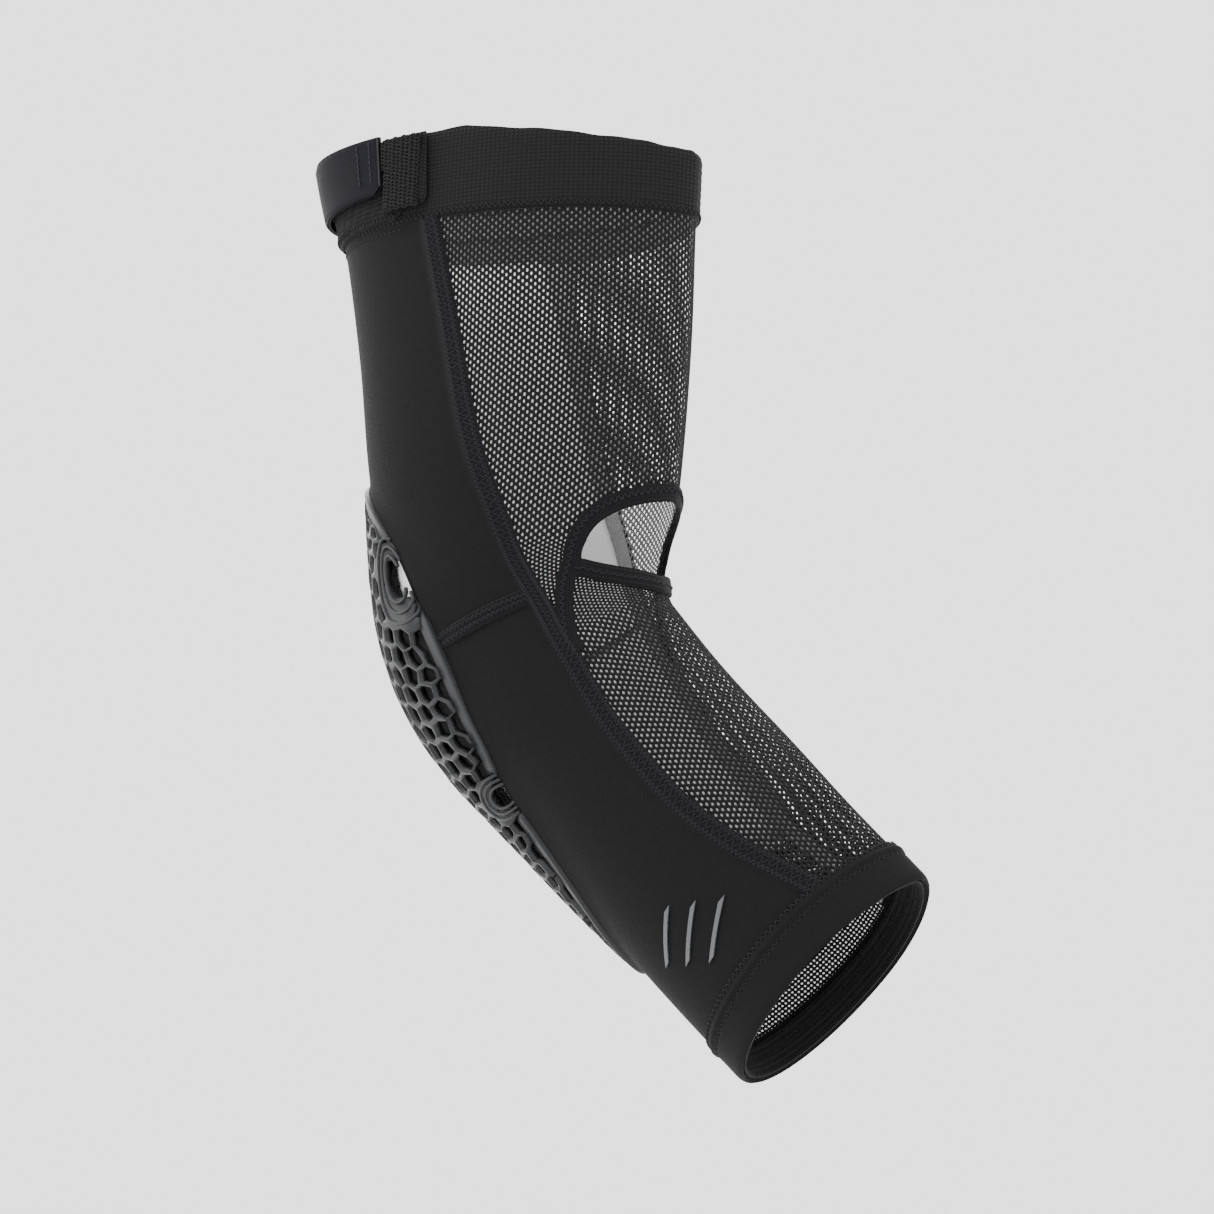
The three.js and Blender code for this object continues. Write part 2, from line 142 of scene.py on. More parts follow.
# %% Stations of the sleeve
PRE_BEND = 46
ELBOW_BLEND = 30
FRONT_FOLD = 1.3
UPPER_RIM, CUFF_RIM = -172, 165
BAND_WIDTH, CUFF_WIDTH = 31, 16
SEAM_WIDTH, ELBOW_SEAM_WIDTH, BINDING_WIDTH = 6.4, 4.6, 5.4

# columns: s, half-depth in front, half-depth behind, half-width
SECTIONS = np.array([
    (-172, 66, 75, 38), (-140, 64, 67, 40), (-100, 62, 60, 41), (-60, 58, 55, 42), (-20, 52, 46, 42),
    (20, 47, 40, 41), (60, 43, 41, 38), (100, 42, 44, 35), (130, 41, 45, 32), (165, 41, 45, 29),
], float)
# columns: s, degrees from the front
SIDE_SEAM = np.array([
    (-172, 107), (-100, 93), (-60, 84), (-25, 70), (5, 63), (30, 64), (60, 71), (95, 74), (120, 70),
    (150, 58),
], float)
# columns: s, degrees either side of the back
GUARD_WINDOW = np.array([
    (-60, 5), (-52, 29), (-40, 46), (-25, 62), (-8, 70), (10, 70), (28, 61), (46, 46), (66, 38), (86, 29),
    (100, 17), (111, 4),
], float)
# columns: s, height over the sleeve along the guard's middle
GUARD_CROWN = np.array([(-60, 4.5), (-25, 8), (10, 10.5), (60, 9), (111, 4.5)], float)


def through(stations, s):
    """A smooth curve through stations: between two of them a cubic whose slope at each station follows its
    two neighbours. Gives one value per station column."""
    s = np.asarray(s, float)
    x, y = stations[:, 0], stations[:, 1:]
    index = np.arange(len(x))
    before, after = np.maximum(index - 1, 0), np.minimum(index + 1, len(x) - 1)
    slope = (y[after] - y[before]) / (x[after] - x[before])[:, None]
    i = np.clip(np.searchsorted(x, s, side="left") - 1, 0, len(x) - 2)
    span = x[i + 1] - x[i]
    t = np.clip((s - x[i]) / span, 0, 1)[..., None]
    span = span[..., None]
    value = (2 * t**3 - 3 * t**2 + 1) * y[i] + (t**3 - 2 * t**2 + t) * span * slope[i]
    value = value + (3 * t**2 - 2 * t**3) * y[i + 1] + (t**3 - t**2) * span * slope[i + 1]
    return np.moveaxis(value, -1, 0)


down = np.array([0.0, 0.0, -1.0])
forearm = np.array([np.sin(np.radians(PRE_BEND)), 0, -np.cos(np.radians(PRE_BEND))])


def sleeve(s, angle):
    """Inner face of the sleeve. The centre line is straight, an arc over the elbow, then straight again.
    Round it the section is depth times cosine and half-width times sine, with the sine sharpened in front
    so that the cloth folds there."""
    s, angle = np.broadcast_arrays(np.asarray(s, float), np.asarray(angle, float))
    t = np.clip((s + ELBOW_BLEND) / (2 * ELBOW_BLEND), 0, 1)[..., None]
    centre = -down * ELBOW_BLEND * (1 - t) ** 2 + forearm * ELBOW_BLEND * t**2
    centre = centre + down * np.minimum(s + ELBOW_BLEND, 0)[..., None]
    centre = centre + forearm * np.maximum(s - ELBOW_BLEND, 0)[..., None]
    tangent = down * (1 - t) + forearm * t
    tangent = tangent / np.linalg.norm(tangent, axis=-1, keepdims=True)
    front = np.stack([-tangent[..., 2], 0 * s, tangent[..., 0]], -1)
    depth_front, depth_back, width = through(SECTIONS, s)
    cosine, sine = np.cos(np.radians(angle)), np.sin(np.radians(angle))
    depth = np.where(cosine > 0, depth_front, depth_back)
    sideways = np.sign(sine) * np.abs(sine) ** np.where(cosine > 0, FRONT_FOLD, 1)
    point = centre + front * (depth * cosine)[..., None]
    point[..., 1] += width * sideways
    return point * MM


def outward(s, angle):
    """The sleeve's unit normal: the cross product of a small step along the arm and one round it."""
    step = 0.5
    lengthways = sleeve(np.add(s, step), angle) - sleeve(np.subtract(s, step), angle)
    round_arm = sleeve(s, np.add(angle, step)) - sleeve(s, np.subtract(angle, step))
    normal = np.cross(lengthways, round_arm)
    return normal / np.linalg.norm(normal, axis=-1, keepdims=True)


def raised(s, angle, height):
    """A point a height in mm outside the sleeve's inner face."""
    return sleeve(s, angle) + outward(s, angle) * (np.asarray(height, float) * MM)[..., None]


print("rim to rim, mm:", CUFF_RIM - UPPER_RIM)

# %% [markdown]
# A weave keeps its size wherever it lies, so patterns are laid out in millimetres round the arm rather than
# in degrees. A table of the distance from the front fold, worked out once, turns one into the other.

# %% Millimetres round the arm
table_s = np.linspace(-176, 169, 240)
table_angle = np.linspace(-360, 360, 1441)
table_u = np.linspace(-190, 190, 761)
table_points = sleeve(table_s[:, None], table_angle[None, :]) / MM
steps_round = np.linalg.norm(np.diff(table_points, axis=1), axis=-1)
distance_table = np.concatenate([np.zeros((len(table_s), 1)), np.cumsum(steps_round, 1)], 1)
front = len(table_angle) // 2
distance_table -= distance_table[:, [front]]
angle_table = np.array([np.interp(table_u, row, table_angle) for row in distance_table])


def look_up(table, columns, s, value):
    """Blend the four nearest entries of a table whose rows follow s and whose columns follow value."""
    i = np.clip((s - table_s[0]) / (table_s[1] - table_s[0]), 0, len(table_s) - 1.001)
    j = np.clip((value - columns[0]) / (columns[1] - columns[0]), 0, len(columns) - 1.001)
    i0, j0 = i.astype(int), j.astype(int)
    a, b = i - i0, j - j0
    top = table[i0, j0] * (1 - b) + table[i0, j0 + 1] * b
    low = table[i0 + 1, j0] * (1 - b) + table[i0 + 1, j0 + 1] * b
    return top * (1 - a) + low * a


def angle_at(s, u):
    """Degrees round the arm at u mm from the front fold."""
    s, u = np.broadcast_arrays(np.asarray(s, float), np.asarray(u, float))
    return look_up(angle_table, table_u, s, u)


def distance_at(s, angle):
    """Mm round the arm from the front fold at an angle."""
    s, angle = np.broadcast_arrays(np.asarray(s, float), np.asarray(angle, float))
    return look_up(distance_table, table_angle, s, angle)


print("half round at the elbow, mm:", np.round(distance_at(0.0, 180.0), 1))

# %% [markdown]
# ## Turning arrays into meshes
#
# Four ways of making a piece cover the whole sleeve. A *slab* is a grid with a thickness. A *band* is a
# closed profile carried along a path on the sleeve. A *thread* is a thin band that follows a zigzag. A
# *cell cloth* is a staggered net of holes with rounded cords between them.

# %% Mesh helpers
def new_piece(name, points, faces, uv=None, smooth=True):
    """Put arrays of points (metres) and quad faces into a mesh object; uv holds one pair of mm per point."""
    mesh = bpy.data.meshes.new(name)
    faces = np.asarray(faces, np.int32)
    sides = faces.shape[1]
    mesh.vertices.add(len(points))
    mesh.vertices.foreach_set("co", np.asarray(points, np.float32).ravel())
    mesh.loops.add(faces.size)
    mesh.loops.foreach_set("vertex_index", faces.ravel())
    mesh.polygons.add(len(faces))
    mesh.polygons.foreach_set("loop_start", np.arange(0, faces.size, sides, dtype=np.int32))
    mesh.polygons.foreach_set("loop_total", np.full(len(faces), sides, np.int32))
    mesh.polygons.foreach_set("use_smooth", np.full(len(faces), smooth))
    mesh.update(calc_edges=True)
    if uv is not None:
        layer = mesh.uv_layers.new(name="cloth")
        layer.data.foreach_set("uv", (np.asarray(uv, np.float32)[faces.ravel()] * MM).ravel())
    mesh.validate()
    piece = bpy.data.objects.new(name, mesh)
    bpy.context.collection.objects.link(piece)
    face_outwards(piece)
    return piece


def face_outwards(piece):
    """Turn the faces round if they enclose a negative volume: the sum of corner . (corner x corner) / 6."""
    mesh = piece.data
    mesh.calc_loop_triangles()
    corners = np.empty(len(mesh.loop_triangles) * 3, np.int32)
    mesh.loop_triangles.foreach_get("vertices", corners)
    places = np.empty(len(mesh.vertices) * 3, np.float32)
    mesh.vertices.foreach_get("co", places)
    a, b, c = places.reshape(-1, 3)[corners.reshape(-1, 3)].transpose(1, 0, 2).astype(float)
    if np.einsum("ij,ij->", a, np.cross(b, c)) < 0:
        mesh.flip_normals()


def boundary_walls(top, offset):
    """Quads that join the open edges of the top faces to the matching edges of the bottom ones."""
    edges = np.stack([top, np.roll(top, -1, axis=1)], -1).reshape(-1, 2)
    key = np.sort(edges, 1)
    _, first, counts = np.unique(key, axis=0, return_index=True, return_counts=True)
    open_edges = edges[first[counts == 1]]
    a, b = open_edges[:, 0], open_edges[:, 1]
    return np.stack([b, a, a + offset, b + offset], 1)


def slab(name, s, angle, low, high, ring=False, keep=None):
    """A closed sheet: a grid of places on the sleeve at two heights, joined round its edges. keep marks the
    cells that are cloth, and a ring closes on itself round the arm."""
    s, angle = np.broadcast_arrays(np.asarray(s, float), np.asarray(angle, float))
    rows, columns = s.shape
    low, high = np.broadcast_to(low, s.shape), np.broadcast_to(high, s.shape)
    inner, outer = raised(s, angle, low), raised(s, angle, high)
    last = columns if ring else columns - 1
    i, j = np.meshgrid(np.arange(rows - 1), np.arange(last), indexing="ij")
    right = (j + 1) % columns
    here, below = i * columns, (i + 1) * columns
    quads = np.stack([here + j, below + j, below + right, here + right], -1)
    quads = quads[keep] if keep is not None else quads.reshape(-1, 4)
    count = rows * columns
    faces = np.concatenate([quads[:, ::-1], quads + count, boundary_walls(quads, count)])
    u = distance_at(s, angle)
    uv = np.tile(np.stack([u, -s], -1).reshape(-1, 2), (2, 1))
    points = np.concatenate([inner.reshape(-1, 3), outer.reshape(-1, 3)])
    used, faces = np.unique(faces, return_inverse=True)
    piece = new_piece(name, points[used], faces.reshape(-1, 4), uv[used])
    side = piece.data.attributes.new("outer_side", "FLOAT", "POINT")
    side.data.foreach_set("value", (used >= count).astype(np.float32))
    return piece


def band(name, s, angle, profile, closed=False, heights=0.0):
    """A profile carried along a path on the sleeve. The profile holds (across, up) pairs in mm; across
    runs at right angles to the path within the cloth, and up is the sleeve's normal."""
    path = raised(s, angle, np.broadcast_to(heights, np.shape(s)))
    normal = outward(s, angle)
    if closed:
        ahead, behind = np.roll(path, -1, 0), np.roll(path, 1, 0)
    else:
        ahead, behind = np.vstack([path[1:], path[-1:]]), np.vstack([path[:1], path[:-1]])
    tangent = ahead - behind
    across = np.cross(normal, tangent)
    across = across / np.linalg.norm(across, axis=-1, keepdims=True)
    profile = np.asarray(profile, float)
    wide = profile[..., 0] * MM
    up = profile[..., 1] * MM
    points = path[:, None] + across[:, None] * wide[..., None] + normal[:, None] * up[..., None]
    rows, columns = points.shape[:2]
    length = np.concatenate([[0], np.cumsum(np.linalg.norm(np.diff(path, axis=0), axis=1))]) / MM
    row_count = rows if closed else rows - 1
    i, j = np.meshgrid(np.arange(row_count), np.arange(columns), indexing="ij")
    down_row = (i + 1) % rows
    right = (j + 1) % columns
    here, below = i * columns, down_row * columns
    quads = np.stack([here + j, below + j, below + right, here + right], -1)
    quads = quads.reshape(-1, 4)
    uv = np.stack(np.broadcast_arrays(np.broadcast_to(profile[..., 0], (rows, columns)), length[:, None]), -1)
    uv = uv.reshape(-1, 2)
    points = points.reshape(-1, 3)
    if not closed:
        quads, points, uv = add_caps(quads, points, uv, rows, columns)
    piece = new_piece(name, points, quads, uv)
    rise = np.broadcast_to(profile[..., 1], (rows, columns))
    share = (rise - rise.min(1, keepdims=True)) / np.ptp(rise, axis=1)[:, None]
    side = piece.data.attributes.new("outer_side", "FLOAT", "POINT")
    side.data.foreach_set("value", (share > 0.1).astype(np.float32).ravel())
    return piece


def add_caps(quads, points, uv, rows, columns):
    """Close both ends of a carried profile: pairs of opposite profile points make strips of quads."""
    half = columns // 2
    k = np.arange(half - 1)
    cap = np.stack([k, k + 1, columns - 2 - k, columns - 1 - k], 1)
    last = (rows - 1) * columns
    return np.concatenate([quads, cap, (cap + last)[:, ::-1]]), points, uv


def oval(width, thickness, low=0.0, sides=16, square=0.55):
    """A flattened oval profile standing on a height: both cosine and sine are raised to a power under 1,
    which squares its corners."""
    turn = (np.arange(sides) + 0.5) * 2 * np.pi / sides
    c, s = np.cos(turn), np.sin(turn)
    across = np.sign(c) * np.abs(c) ** square * width / 2
    up = low + thickness / 2 + np.sign(s) * np.abs(s) ** square * thickness / 2
    return np.stack([across, up], -1)


def thread(name, s, angle, height, radius=0.32, closed=False, sides=6):
    """A round thread of a small radius along a path, at a height over the sleeve's inner face."""
    return band(name, s, angle, oval(2 * radius, 2 * radius, -radius, sides, 1.0), closed, height)


def joined(name, pieces):
    """Several pieces of one finish made into one mesh, by stacking their arrays."""
    points, faces, uv, offset = [], [], [], 0
    for piece in pieces:
        mesh = piece.data
        co = np.empty(len(mesh.vertices) * 3, np.float32)
        mesh.vertices.foreach_get("co", co)
        corner = np.empty(len(mesh.loops), np.int32)
        mesh.loops.foreach_get("vertex_index", corner)
        pair = np.empty(len(mesh.loops) * 2, np.float32)
        mesh.uv_layers[0].data.foreach_get("uv", pair)
        per_point = np.zeros((len(mesh.vertices), 2), np.float32)
        per_point[corner] = pair.reshape(-1, 2) / MM
        points.append(co.reshape(-1, 3))
        faces.append(corner.reshape(-1, 4) + offset)
        uv.append(per_point)
        offset += len(mesh.vertices)
        bpy.data.objects.remove(piece)
        bpy.data.meshes.remove(mesh)
    return new_piece(name, np.concatenate(points), np.concatenate(faces), np.concatenate(uv))


def triangles(piece):
    """How many triangles a piece has, from its quads."""
    return sum(len(p.vertices) - 2 for p in piece.data.polygons)


# %% Cell cloth
def cell_cloth(name, s_range, u_range, inside, pitch, hole, thickness, height, shift=None, solid=None,
               depth=0.0):
    """A staggered net. Cell centres stand pitch[1] apart down the arm and pitch[0] apart round it, every
    second column half a step lower. A cell is a hexagon; its hole is an oval of the given half-width and
    half-height, given as a function of the place. Cords swell from the hole's rim to the hexagon's corners,
    and depth makes the hole a straight-walled well instead. shift moves points of the pattern."""
    across, step = pitch
    columns = np.arange(np.floor(u_range[0] / across), np.ceil(u_range[1] / across) + 1)
    rows = np.arange(np.floor(s_range[0] / step), np.ceil(s_range[1] / step) + 1)
    cu, cs = np.meshgrid(columns * across, rows * step, indexing="ij")
    cs = cs + (np.abs(columns)[:, None] % 2) * step / 2
    cu, cs = cu.ravel(), cs.ravel()
    chosen = inside(cs, cu)
    cu, cs = cu[chosen], cs[chosen]
    corner_u = np.array([1, 2, 1, -1, -2, -1]) / 3 * across
    corner_s = np.array([-0.5, 0, 0.5, 0.5, 0, -0.5]) * step
    turn = np.radians([-60, 0, 60, 120, 180, 240])
    corners = np.stack([cs[:, None] + corner_s, cu[:, None] + corner_u], -1)
    half_wide, half_high = hole(cs, cu)
    rim_s = cs[:, None] + half_high[:, None] * np.sin(turn)
    rim_u = cu[:, None] + half_wide[:, None] * np.cos(turn)
    rim = np.stack([rim_s, rim_u], -1)
    cells = len(cs)
    key = np.round(corners.reshape(-1, 2) * 100).astype(np.int64)
    _, first, corner_id = np.unique(key, axis=0, return_index=True, return_inverse=True)
    corner_id = corner_id.reshape(cells, 6)
    shared = corners.reshape(-1, 2)[first]
    rim = rim.reshape(-1, 2)
    if shift is not None:
        shared, rim = shift(shared), shift(rim)
    n, m = len(shared), len(rim)
    rim_id = np.arange(m).reshape(cells, 6)
    nxt = np.roll(np.arange(6), -1)
    filled = solid(cs, cu) if solid is not None else np.zeros(cells, bool)
    open_cells = ~filled
    top_height = height(shared[:, 0], shared[:, 1])
    rim_height = height(rim[:, 0], rim[:, 1])
    place = np.concatenate([shared, shared, rim, rim])
    middle = thickness / 2
    if depth > 0:
        heights = np.concatenate([top_height, top_height - depth, rim_height - 0.12, rim_height - depth])
    else:
        heights = np.concatenate([top_height + middle, top_height - middle, rim_height, rim_height])
    c, r = corner_id[open_cells], rim_id[open_cells] + 2 * n
    top = np.stack([c, r, r[:, nxt], c[:, nxt]], -1).reshape(-1, 4)
    under = r + m if depth > 0 else r
    low = np.stack([c[:, nxt] + n, under[:, nxt], under, c + n], -1).reshape(-1, 4)
    parts = [top, low]
    if depth > 0:
        parts.append(np.stack([r, r + m, (r + m)[:, nxt], r[:, nxt]], -1).reshape(-1, 4))
    full = corner_id[filled]
    lids = np.zeros((0, 4), int)
    if len(full):
        lids = np.concatenate([full[:, [0, 1, 2, 3]], full[:, [0, 3, 4, 5]]])
    parts += [lids[:, ::-1], lids + n]
    outline = np.concatenate([corner_id[open_cells], corner_id[filled]])
    rim_edges = np.stack([outline, outline[:, nxt]], -1).reshape(-1, 2)
    _, where, counts = np.unique(np.sort(rim_edges, 1), axis=0, return_index=True, return_counts=True)
    a, b = rim_edges[where[counts == 1]].T
    parts.append(np.stack([a, b, b + n, a + n], 1))
    faces = np.concatenate(parts)
    used, faces = np.unique(faces, return_inverse=True)
    angle = angle_at(place[:, 0], place[:, 1])
    points = raised(place[used, 0], angle[used], heights[used])
    uv = np.stack([place[used, 1], -place[used, 0]], -1)
    piece = new_piece(name, points, faces.reshape(-1, 4), uv)
    side = piece.data.attributes.new("outer_side", "FLOAT", "POINT")
    under = ((used >= n) & (used < 2 * n)) | (used >= 2 * n + m)
    side.data.foreach_set("value", np.where(under, 0.0, 1.0).astype(np.float32))
    return piece


print("helpers ready")

# %% [markdown]
# ## Lines that the pieces share
#
# The side seams, the elbow seams, the vent and the window for the guard are the pattern's outlines. Each is
# a function of the place down the arm, so a panel and the seam beside it use the same line.

# %% Outlines
BAND_EDGE = UPPER_RIM + BAND_WIDTH
CUFF_EDGE = CUFF_RIM - CUFF_WIDTH
VENT_HALF_ANGLE = 45
VENT_TOP, VENT_CORNER, VENT_LIP = -45, -13, 15
ARCH_FOOT, LEG_END = VENT_CORNER - 3, 32
GUARD_TOP, GUARD_TIP = GUARD_WINDOW[0, 0], GUARD_WINDOW[-1, 0]


def mm_as_degrees(length, s, angle):
    """Degrees round the arm that a length in mm covers at a place."""
    return length * MM / np.linalg.norm(sleeve(s, np.add(angle, 1)) - sleeve(s, angle), axis=-1)


def seam_angle(s, shift=0.0):
    """The side seam's angle from the front, moved shift mm towards the back."""
    middle = through(SIDE_SEAM, s)[0]
    return middle + mm_as_degrees(shift, s, middle)


def seam_u(s, shift=0.0):
    """The side seam's distance from the front fold in mm, moved shift mm towards the back."""
    return distance_at(s, through(SIDE_SEAM, s)[0]) + shift


def window_half(s):
    """Half-width of the guard's window in degrees either side of the back."""
    return through(GUARD_WINDOW, s)[0]


def vent_lip(angle):
    """How far down the vent's lower lip lies at an angle, lowest in front."""
    across = np.minimum(np.abs(angle) / VENT_HALF_ANGLE, 1)
    return VENT_LIP + (VENT_CORNER - VENT_LIP) * across**1.4


def vent_angle(s, widen=0.0):
    """Half-angle of the vent's arch at a height, widened by a length in mm."""
    top = VENT_TOP - widen
    rise = np.clip((VENT_CORNER - s) / (VENT_CORNER - top), 0, 1)
    return (VENT_HALF_ANGLE + mm_as_degrees(widen, s, VENT_HALF_ANGLE)) * np.sqrt(1 - rise**4.2)


def arch_place(t, widen=0.0):
    """A place on the vent's arch, t from -1 at one foot over 0 at its top to 1 at the other."""
    turn = np.abs(t) * np.pi / 2
    s = ARCH_FOOT + (VENT_TOP - widen - ARCH_FOOT) * np.cos(turn) ** 0.77
    return s, np.sign(t) * vent_angle(s, widen)


def leg_inner(s):
    """Front edge of the binding's leg, from the arch's foot down to the side seam."""
    share = np.clip((s - ARCH_FOOT) / (LEG_END - ARCH_FOOT), 0, 1) ** 1.15
    return vent_angle(float(ARCH_FOOT)) * (1 - share) + seam_angle(s, -SEAM_WIDTH / 2 - 2) * share


def round_the_arm(rows, first=-180, last=180, columns=120):
    """A grid of rows down the arm by evenly spaced angles round it."""
    return np.meshgrid(rows, np.linspace(first, last, columns, endpoint=False), indexing="ij")


def between(s, first, last, columns):
    """A grid with one row for each s, whose angles run evenly from one outline to the other."""
    t = np.linspace(0, 1, columns)
    s = np.asarray(s, float)[:, None]
    return np.broadcast_to(s, (len(s), columns)), first[:, None] * (1 - t) + last[:, None] * t


# %% [markdown]
# ## Cloth finishes
#
# All the cloth is close to black, so what tells one piece from another is how the light catches it. The
# smooth knit has a fine vertical rib and a soft sheen, the elastic has rows of bumps, the tab is a tight
# blue-grey laminate, and the loop patch is a dull pile. Each is a Principled shader whose colour varies a
# little, with a bump worked out from the piece's own millimetre map, so the weave keeps its true size.

# %% Material helpers
class Finish:
    """A small builder for one material: nodes are added by name and joined as they are made."""

    def __init__(self, name, roughness, sheen=0.0, specular=0.1):
        self.material = bpy.data.materials.new(name)
        self.material.use_nodes = True
        self.tree = self.material.node_tree
        self.shader = self.tree.nodes["Principled BSDF"]
        self.shader.inputs["Roughness"].default_value = roughness
        self.shader.inputs["Sheen Weight"].default_value = sheen
        self.shader.inputs["Sheen Roughness"].default_value = 0.45
        self.shader.inputs["Specular IOR Level"].default_value = specular
        self.place = self.add("ShaderNodeTexCoord").outputs

    def add(self, kind, inputs=(), **settings):
        node = self.tree.nodes.new(kind)
        for key, value in settings.items():
            setattr(node, key, value)
        for key, value in dict(inputs).items():
            self.plug(value, node.inputs[key])
        return node

    def plug(self, value, socket):
        if isinstance(value, bpy.types.NodeSocket):
            self.tree.links.new(value, socket)
        else:
            socket.default_value = value

    def scaled(self, coordinates, x, y, z=1.0):
        settings = {"Vector": self.place[coordinates], "Scale": (x, y, z)}
        return self.add("ShaderNodeMapping", settings).outputs[0]

    def math(self, kind, *values):
        return self.add("ShaderNodeMath", dict(enumerate(values)), operation=kind).outputs[0]

    def noise(self, vector, scale, detail=3.0):
        return self.add("ShaderNodeTexNoise", {"Vector": vector, "Scale": scale, "Detail": detail}).outputs[0]

    def wave(self, vector, axis, scale, warp=0.0):
        settings = {"Vector": vector, "Scale": scale, "Distortion": warp, "Detail": 1.0}
        return self.add("ShaderNodeTexWave", settings, bands_direction=axis).outputs[1]

    def colours(self, factor, dark, light):
        ramp = self.add("ShaderNodeValToRGB", {"Fac": factor})
        ramp.color_ramp.elements[0].color = (*dark, 1)
        ramp.color_ramp.elements[1].color = (*light, 1)
        return ramp.outputs[0]

    def mixed(self, factor, first, second):
        return self.add("ShaderNodeMix", {0: factor, 6: first, 7: second}, data_type="RGBA").outputs[2]

    def paint(self, colour):
        self.plug(colour, self.shader.inputs["Base Color"])

    def emboss(self, height, distance, strength=1.0):
        bump = self.add("ShaderNodeBump", {"Height": height, "Distance": distance, "Strength": strength})
        self.tree.links.new(bump.outputs[0], self.shader.inputs["Normal"])


def lined(finish, colour, lining, dotted=True):
    """Take the lining's colour on the face towards the arm, and the cloth's own beside the cuff, where the
    inside is a black net over white dots. How far down the arm a point is comes from the cloth's own map."""
    side = finish.add("ShaderNodeAttribute", attribute_name="outer_side").outputs["Fac"]
    place = finish.add("ShaderNodeSeparateXYZ", {0: finish.place["UV"]}).outputs[1]
    near_cuff = finish.add("ShaderNodeMapRange", {"Value": place, "From Min": -0.085, "From Max": -0.105})
    net = finish.scaled("UV", 1000, 1000)
    holes = finish.math("MULTIPLY", finish.wave(net, "X", 0.22), finish.wave(net, "Y", 0.22))
    dots = finish.math("GREATER_THAN", holes, 0.5)
    black = (0.006, 0.006, 0.0063, 1)
    dark = finish.mixed(dots, black, (*lining, 1)) if dotted else black
    inner = finish.mixed(near_cuff.outputs[0], (*lining, 1), dark)
    return finish.mixed(side, inner, colour)


def knit_finish(name, dark, light, lining=None):
    """Smooth knit: fine ribs down the arm 0.9 mm apart broken by stitches 0.7 mm apart, and a faint mottle.
    Where a lining colour is given, the face towards the arm takes it."""
    finish = Finish(name, 0.86, 0.02, 0.06)
    cloth = finish.scaled("UV", 1000, 1000)
    knit = finish.math("MULTIPLY", finish.wave(cloth, "X", 0.35, 0.4), finish.wave(cloth, "Y", 0.45, 0.4))
    fine = finish.noise(cloth, 2.2, 2)
    coarse = finish.math("MULTIPLY", finish.noise(cloth, 0.35, 4), 0.5)
    mottle = finish.math("MULTIPLY_ADD", fine, 0.5, coarse)
    colour = finish.colours(mottle, dark, light)
    finish.paint(lined(finish, colour, lining) if lining else colour)
    finish.emboss(finish.math("ADD", knit, finish.math("MULTIPLY", fine, 0.6)), 0.00012, 0.7)
    return finish.material


def thread_finish(name, dark, light, lining=None):
    """Spun thread: fine slanted twist along its length and a soft sheen."""
    finish = Finish(name, 0.75, 0.03, 0.08)
    cloth = finish.scaled("UV", 1000, 1000)
    twist = finish.wave(cloth, "DIAGONAL", 0.9, 0.6)
    colour = finish.colours(finish.noise(cloth, 1.1, 2), dark, light)
    finish.paint(lined(finish, colour, lining, dotted=False) if lining else colour)
    finish.emboss(twist, 0.00008, 0.6)
    return finish.material


def pebble_finish(name, dark, light, across, along, roughness=0.88, lining=None):
    """Woven elastic: rows of small bumps, a product of two waves that are across and along mm apart."""
    finish = Finish(name, roughness, 0.03, 0.08)
    cloth = finish.scaled("UV", 1000, 1000)
    weft = finish.wave(cloth, "X", 0.32 / across, 0.5)
    warp = finish.wave(cloth, "Y", 0.32 / along, 0.3)
    bumps = finish.math("MULTIPLY", weft, warp)
    speck = finish.noise(cloth, 0.9, 3)
    tone = finish.math("MULTIPLY_ADD", bumps, 0.6, finish.math("MULTIPLY", speck, 0.4))
    colour = finish.colours(tone, dark, light)
    if lining:
        side = finish.add("ShaderNodeAttribute", attribute_name="outer_side").outputs["Fac"]
        colour = finish.mixed(side, (*lining, 1), colour)
    finish.paint(colour)
    finish.emboss(bumps, 0.0003, 0.9)
    return finish.material


# %% Finishes
LINING_WHITE = (0.86, 0.86, 0.86)
KNIT = knit_finish("black_knit", (0.0035, 0.0035, 0.0037), (0.0065, 0.0065, 0.0068), lining=LINING_WHITE)
CUFF_KNIT = knit_finish("cuff_knit", (0.0035, 0.0035, 0.0037), (0.0065, 0.0065, 0.0068))
NET = thread_finish("mesh_cords", (0.0028, 0.0028, 0.003), (0.006, 0.006, 0.0065), lining=(0.3, 0.3, 0.3))
ELASTIC = pebble_finish("woven_elastic", (0.003, 0.003, 0.0032), (0.012, 0.012, 0.0127), 1.6, 1.3,
                        lining=(0.12, 0.12, 0.12))
RIBBED = pebble_finish("ribbed_elastic", (0.003, 0.003, 0.0033), (0.012, 0.012, 0.0127), 0.9, 2.6)
SEAM = pebble_finish("seam_tape", (0.002, 0.002, 0.0022), (0.0075, 0.0075, 0.0088), 1.0, 1.0,
                     lining=(0.3, 0.3, 0.3))
BINDING = pebble_finish("binding_tape", (0.002, 0.002, 0.0022), (0.007, 0.007, 0.0082), 1.3, 0.8)
THREAD = thread_finish("stitch_thread", (0.004, 0.004, 0.0046), (0.012, 0.012, 0.014))
LIGHT_THREAD = thread_finish("edge_thread", (0.010, 0.010, 0.011), (0.028, 0.028, 0.030))
print("cloth finishes:", len(bpy.data.materials))


# %% Small helpers for placing pieces
def dress(piece, material, slot_name, *nodes):
    """Give a piece its material and the frame nodes that it stands for; slot_name is not used."""
    piece.data.materials.append(material)
    if nodes:
        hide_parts(*nodes)
        piece.name = f"{nodes[0]}_made"
    return piece


def cross_elbow(*pieces):
    """Cloth that runs over the elbow: each piece's placement is baked into its points."""
    for piece in pieces:
        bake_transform(piece)


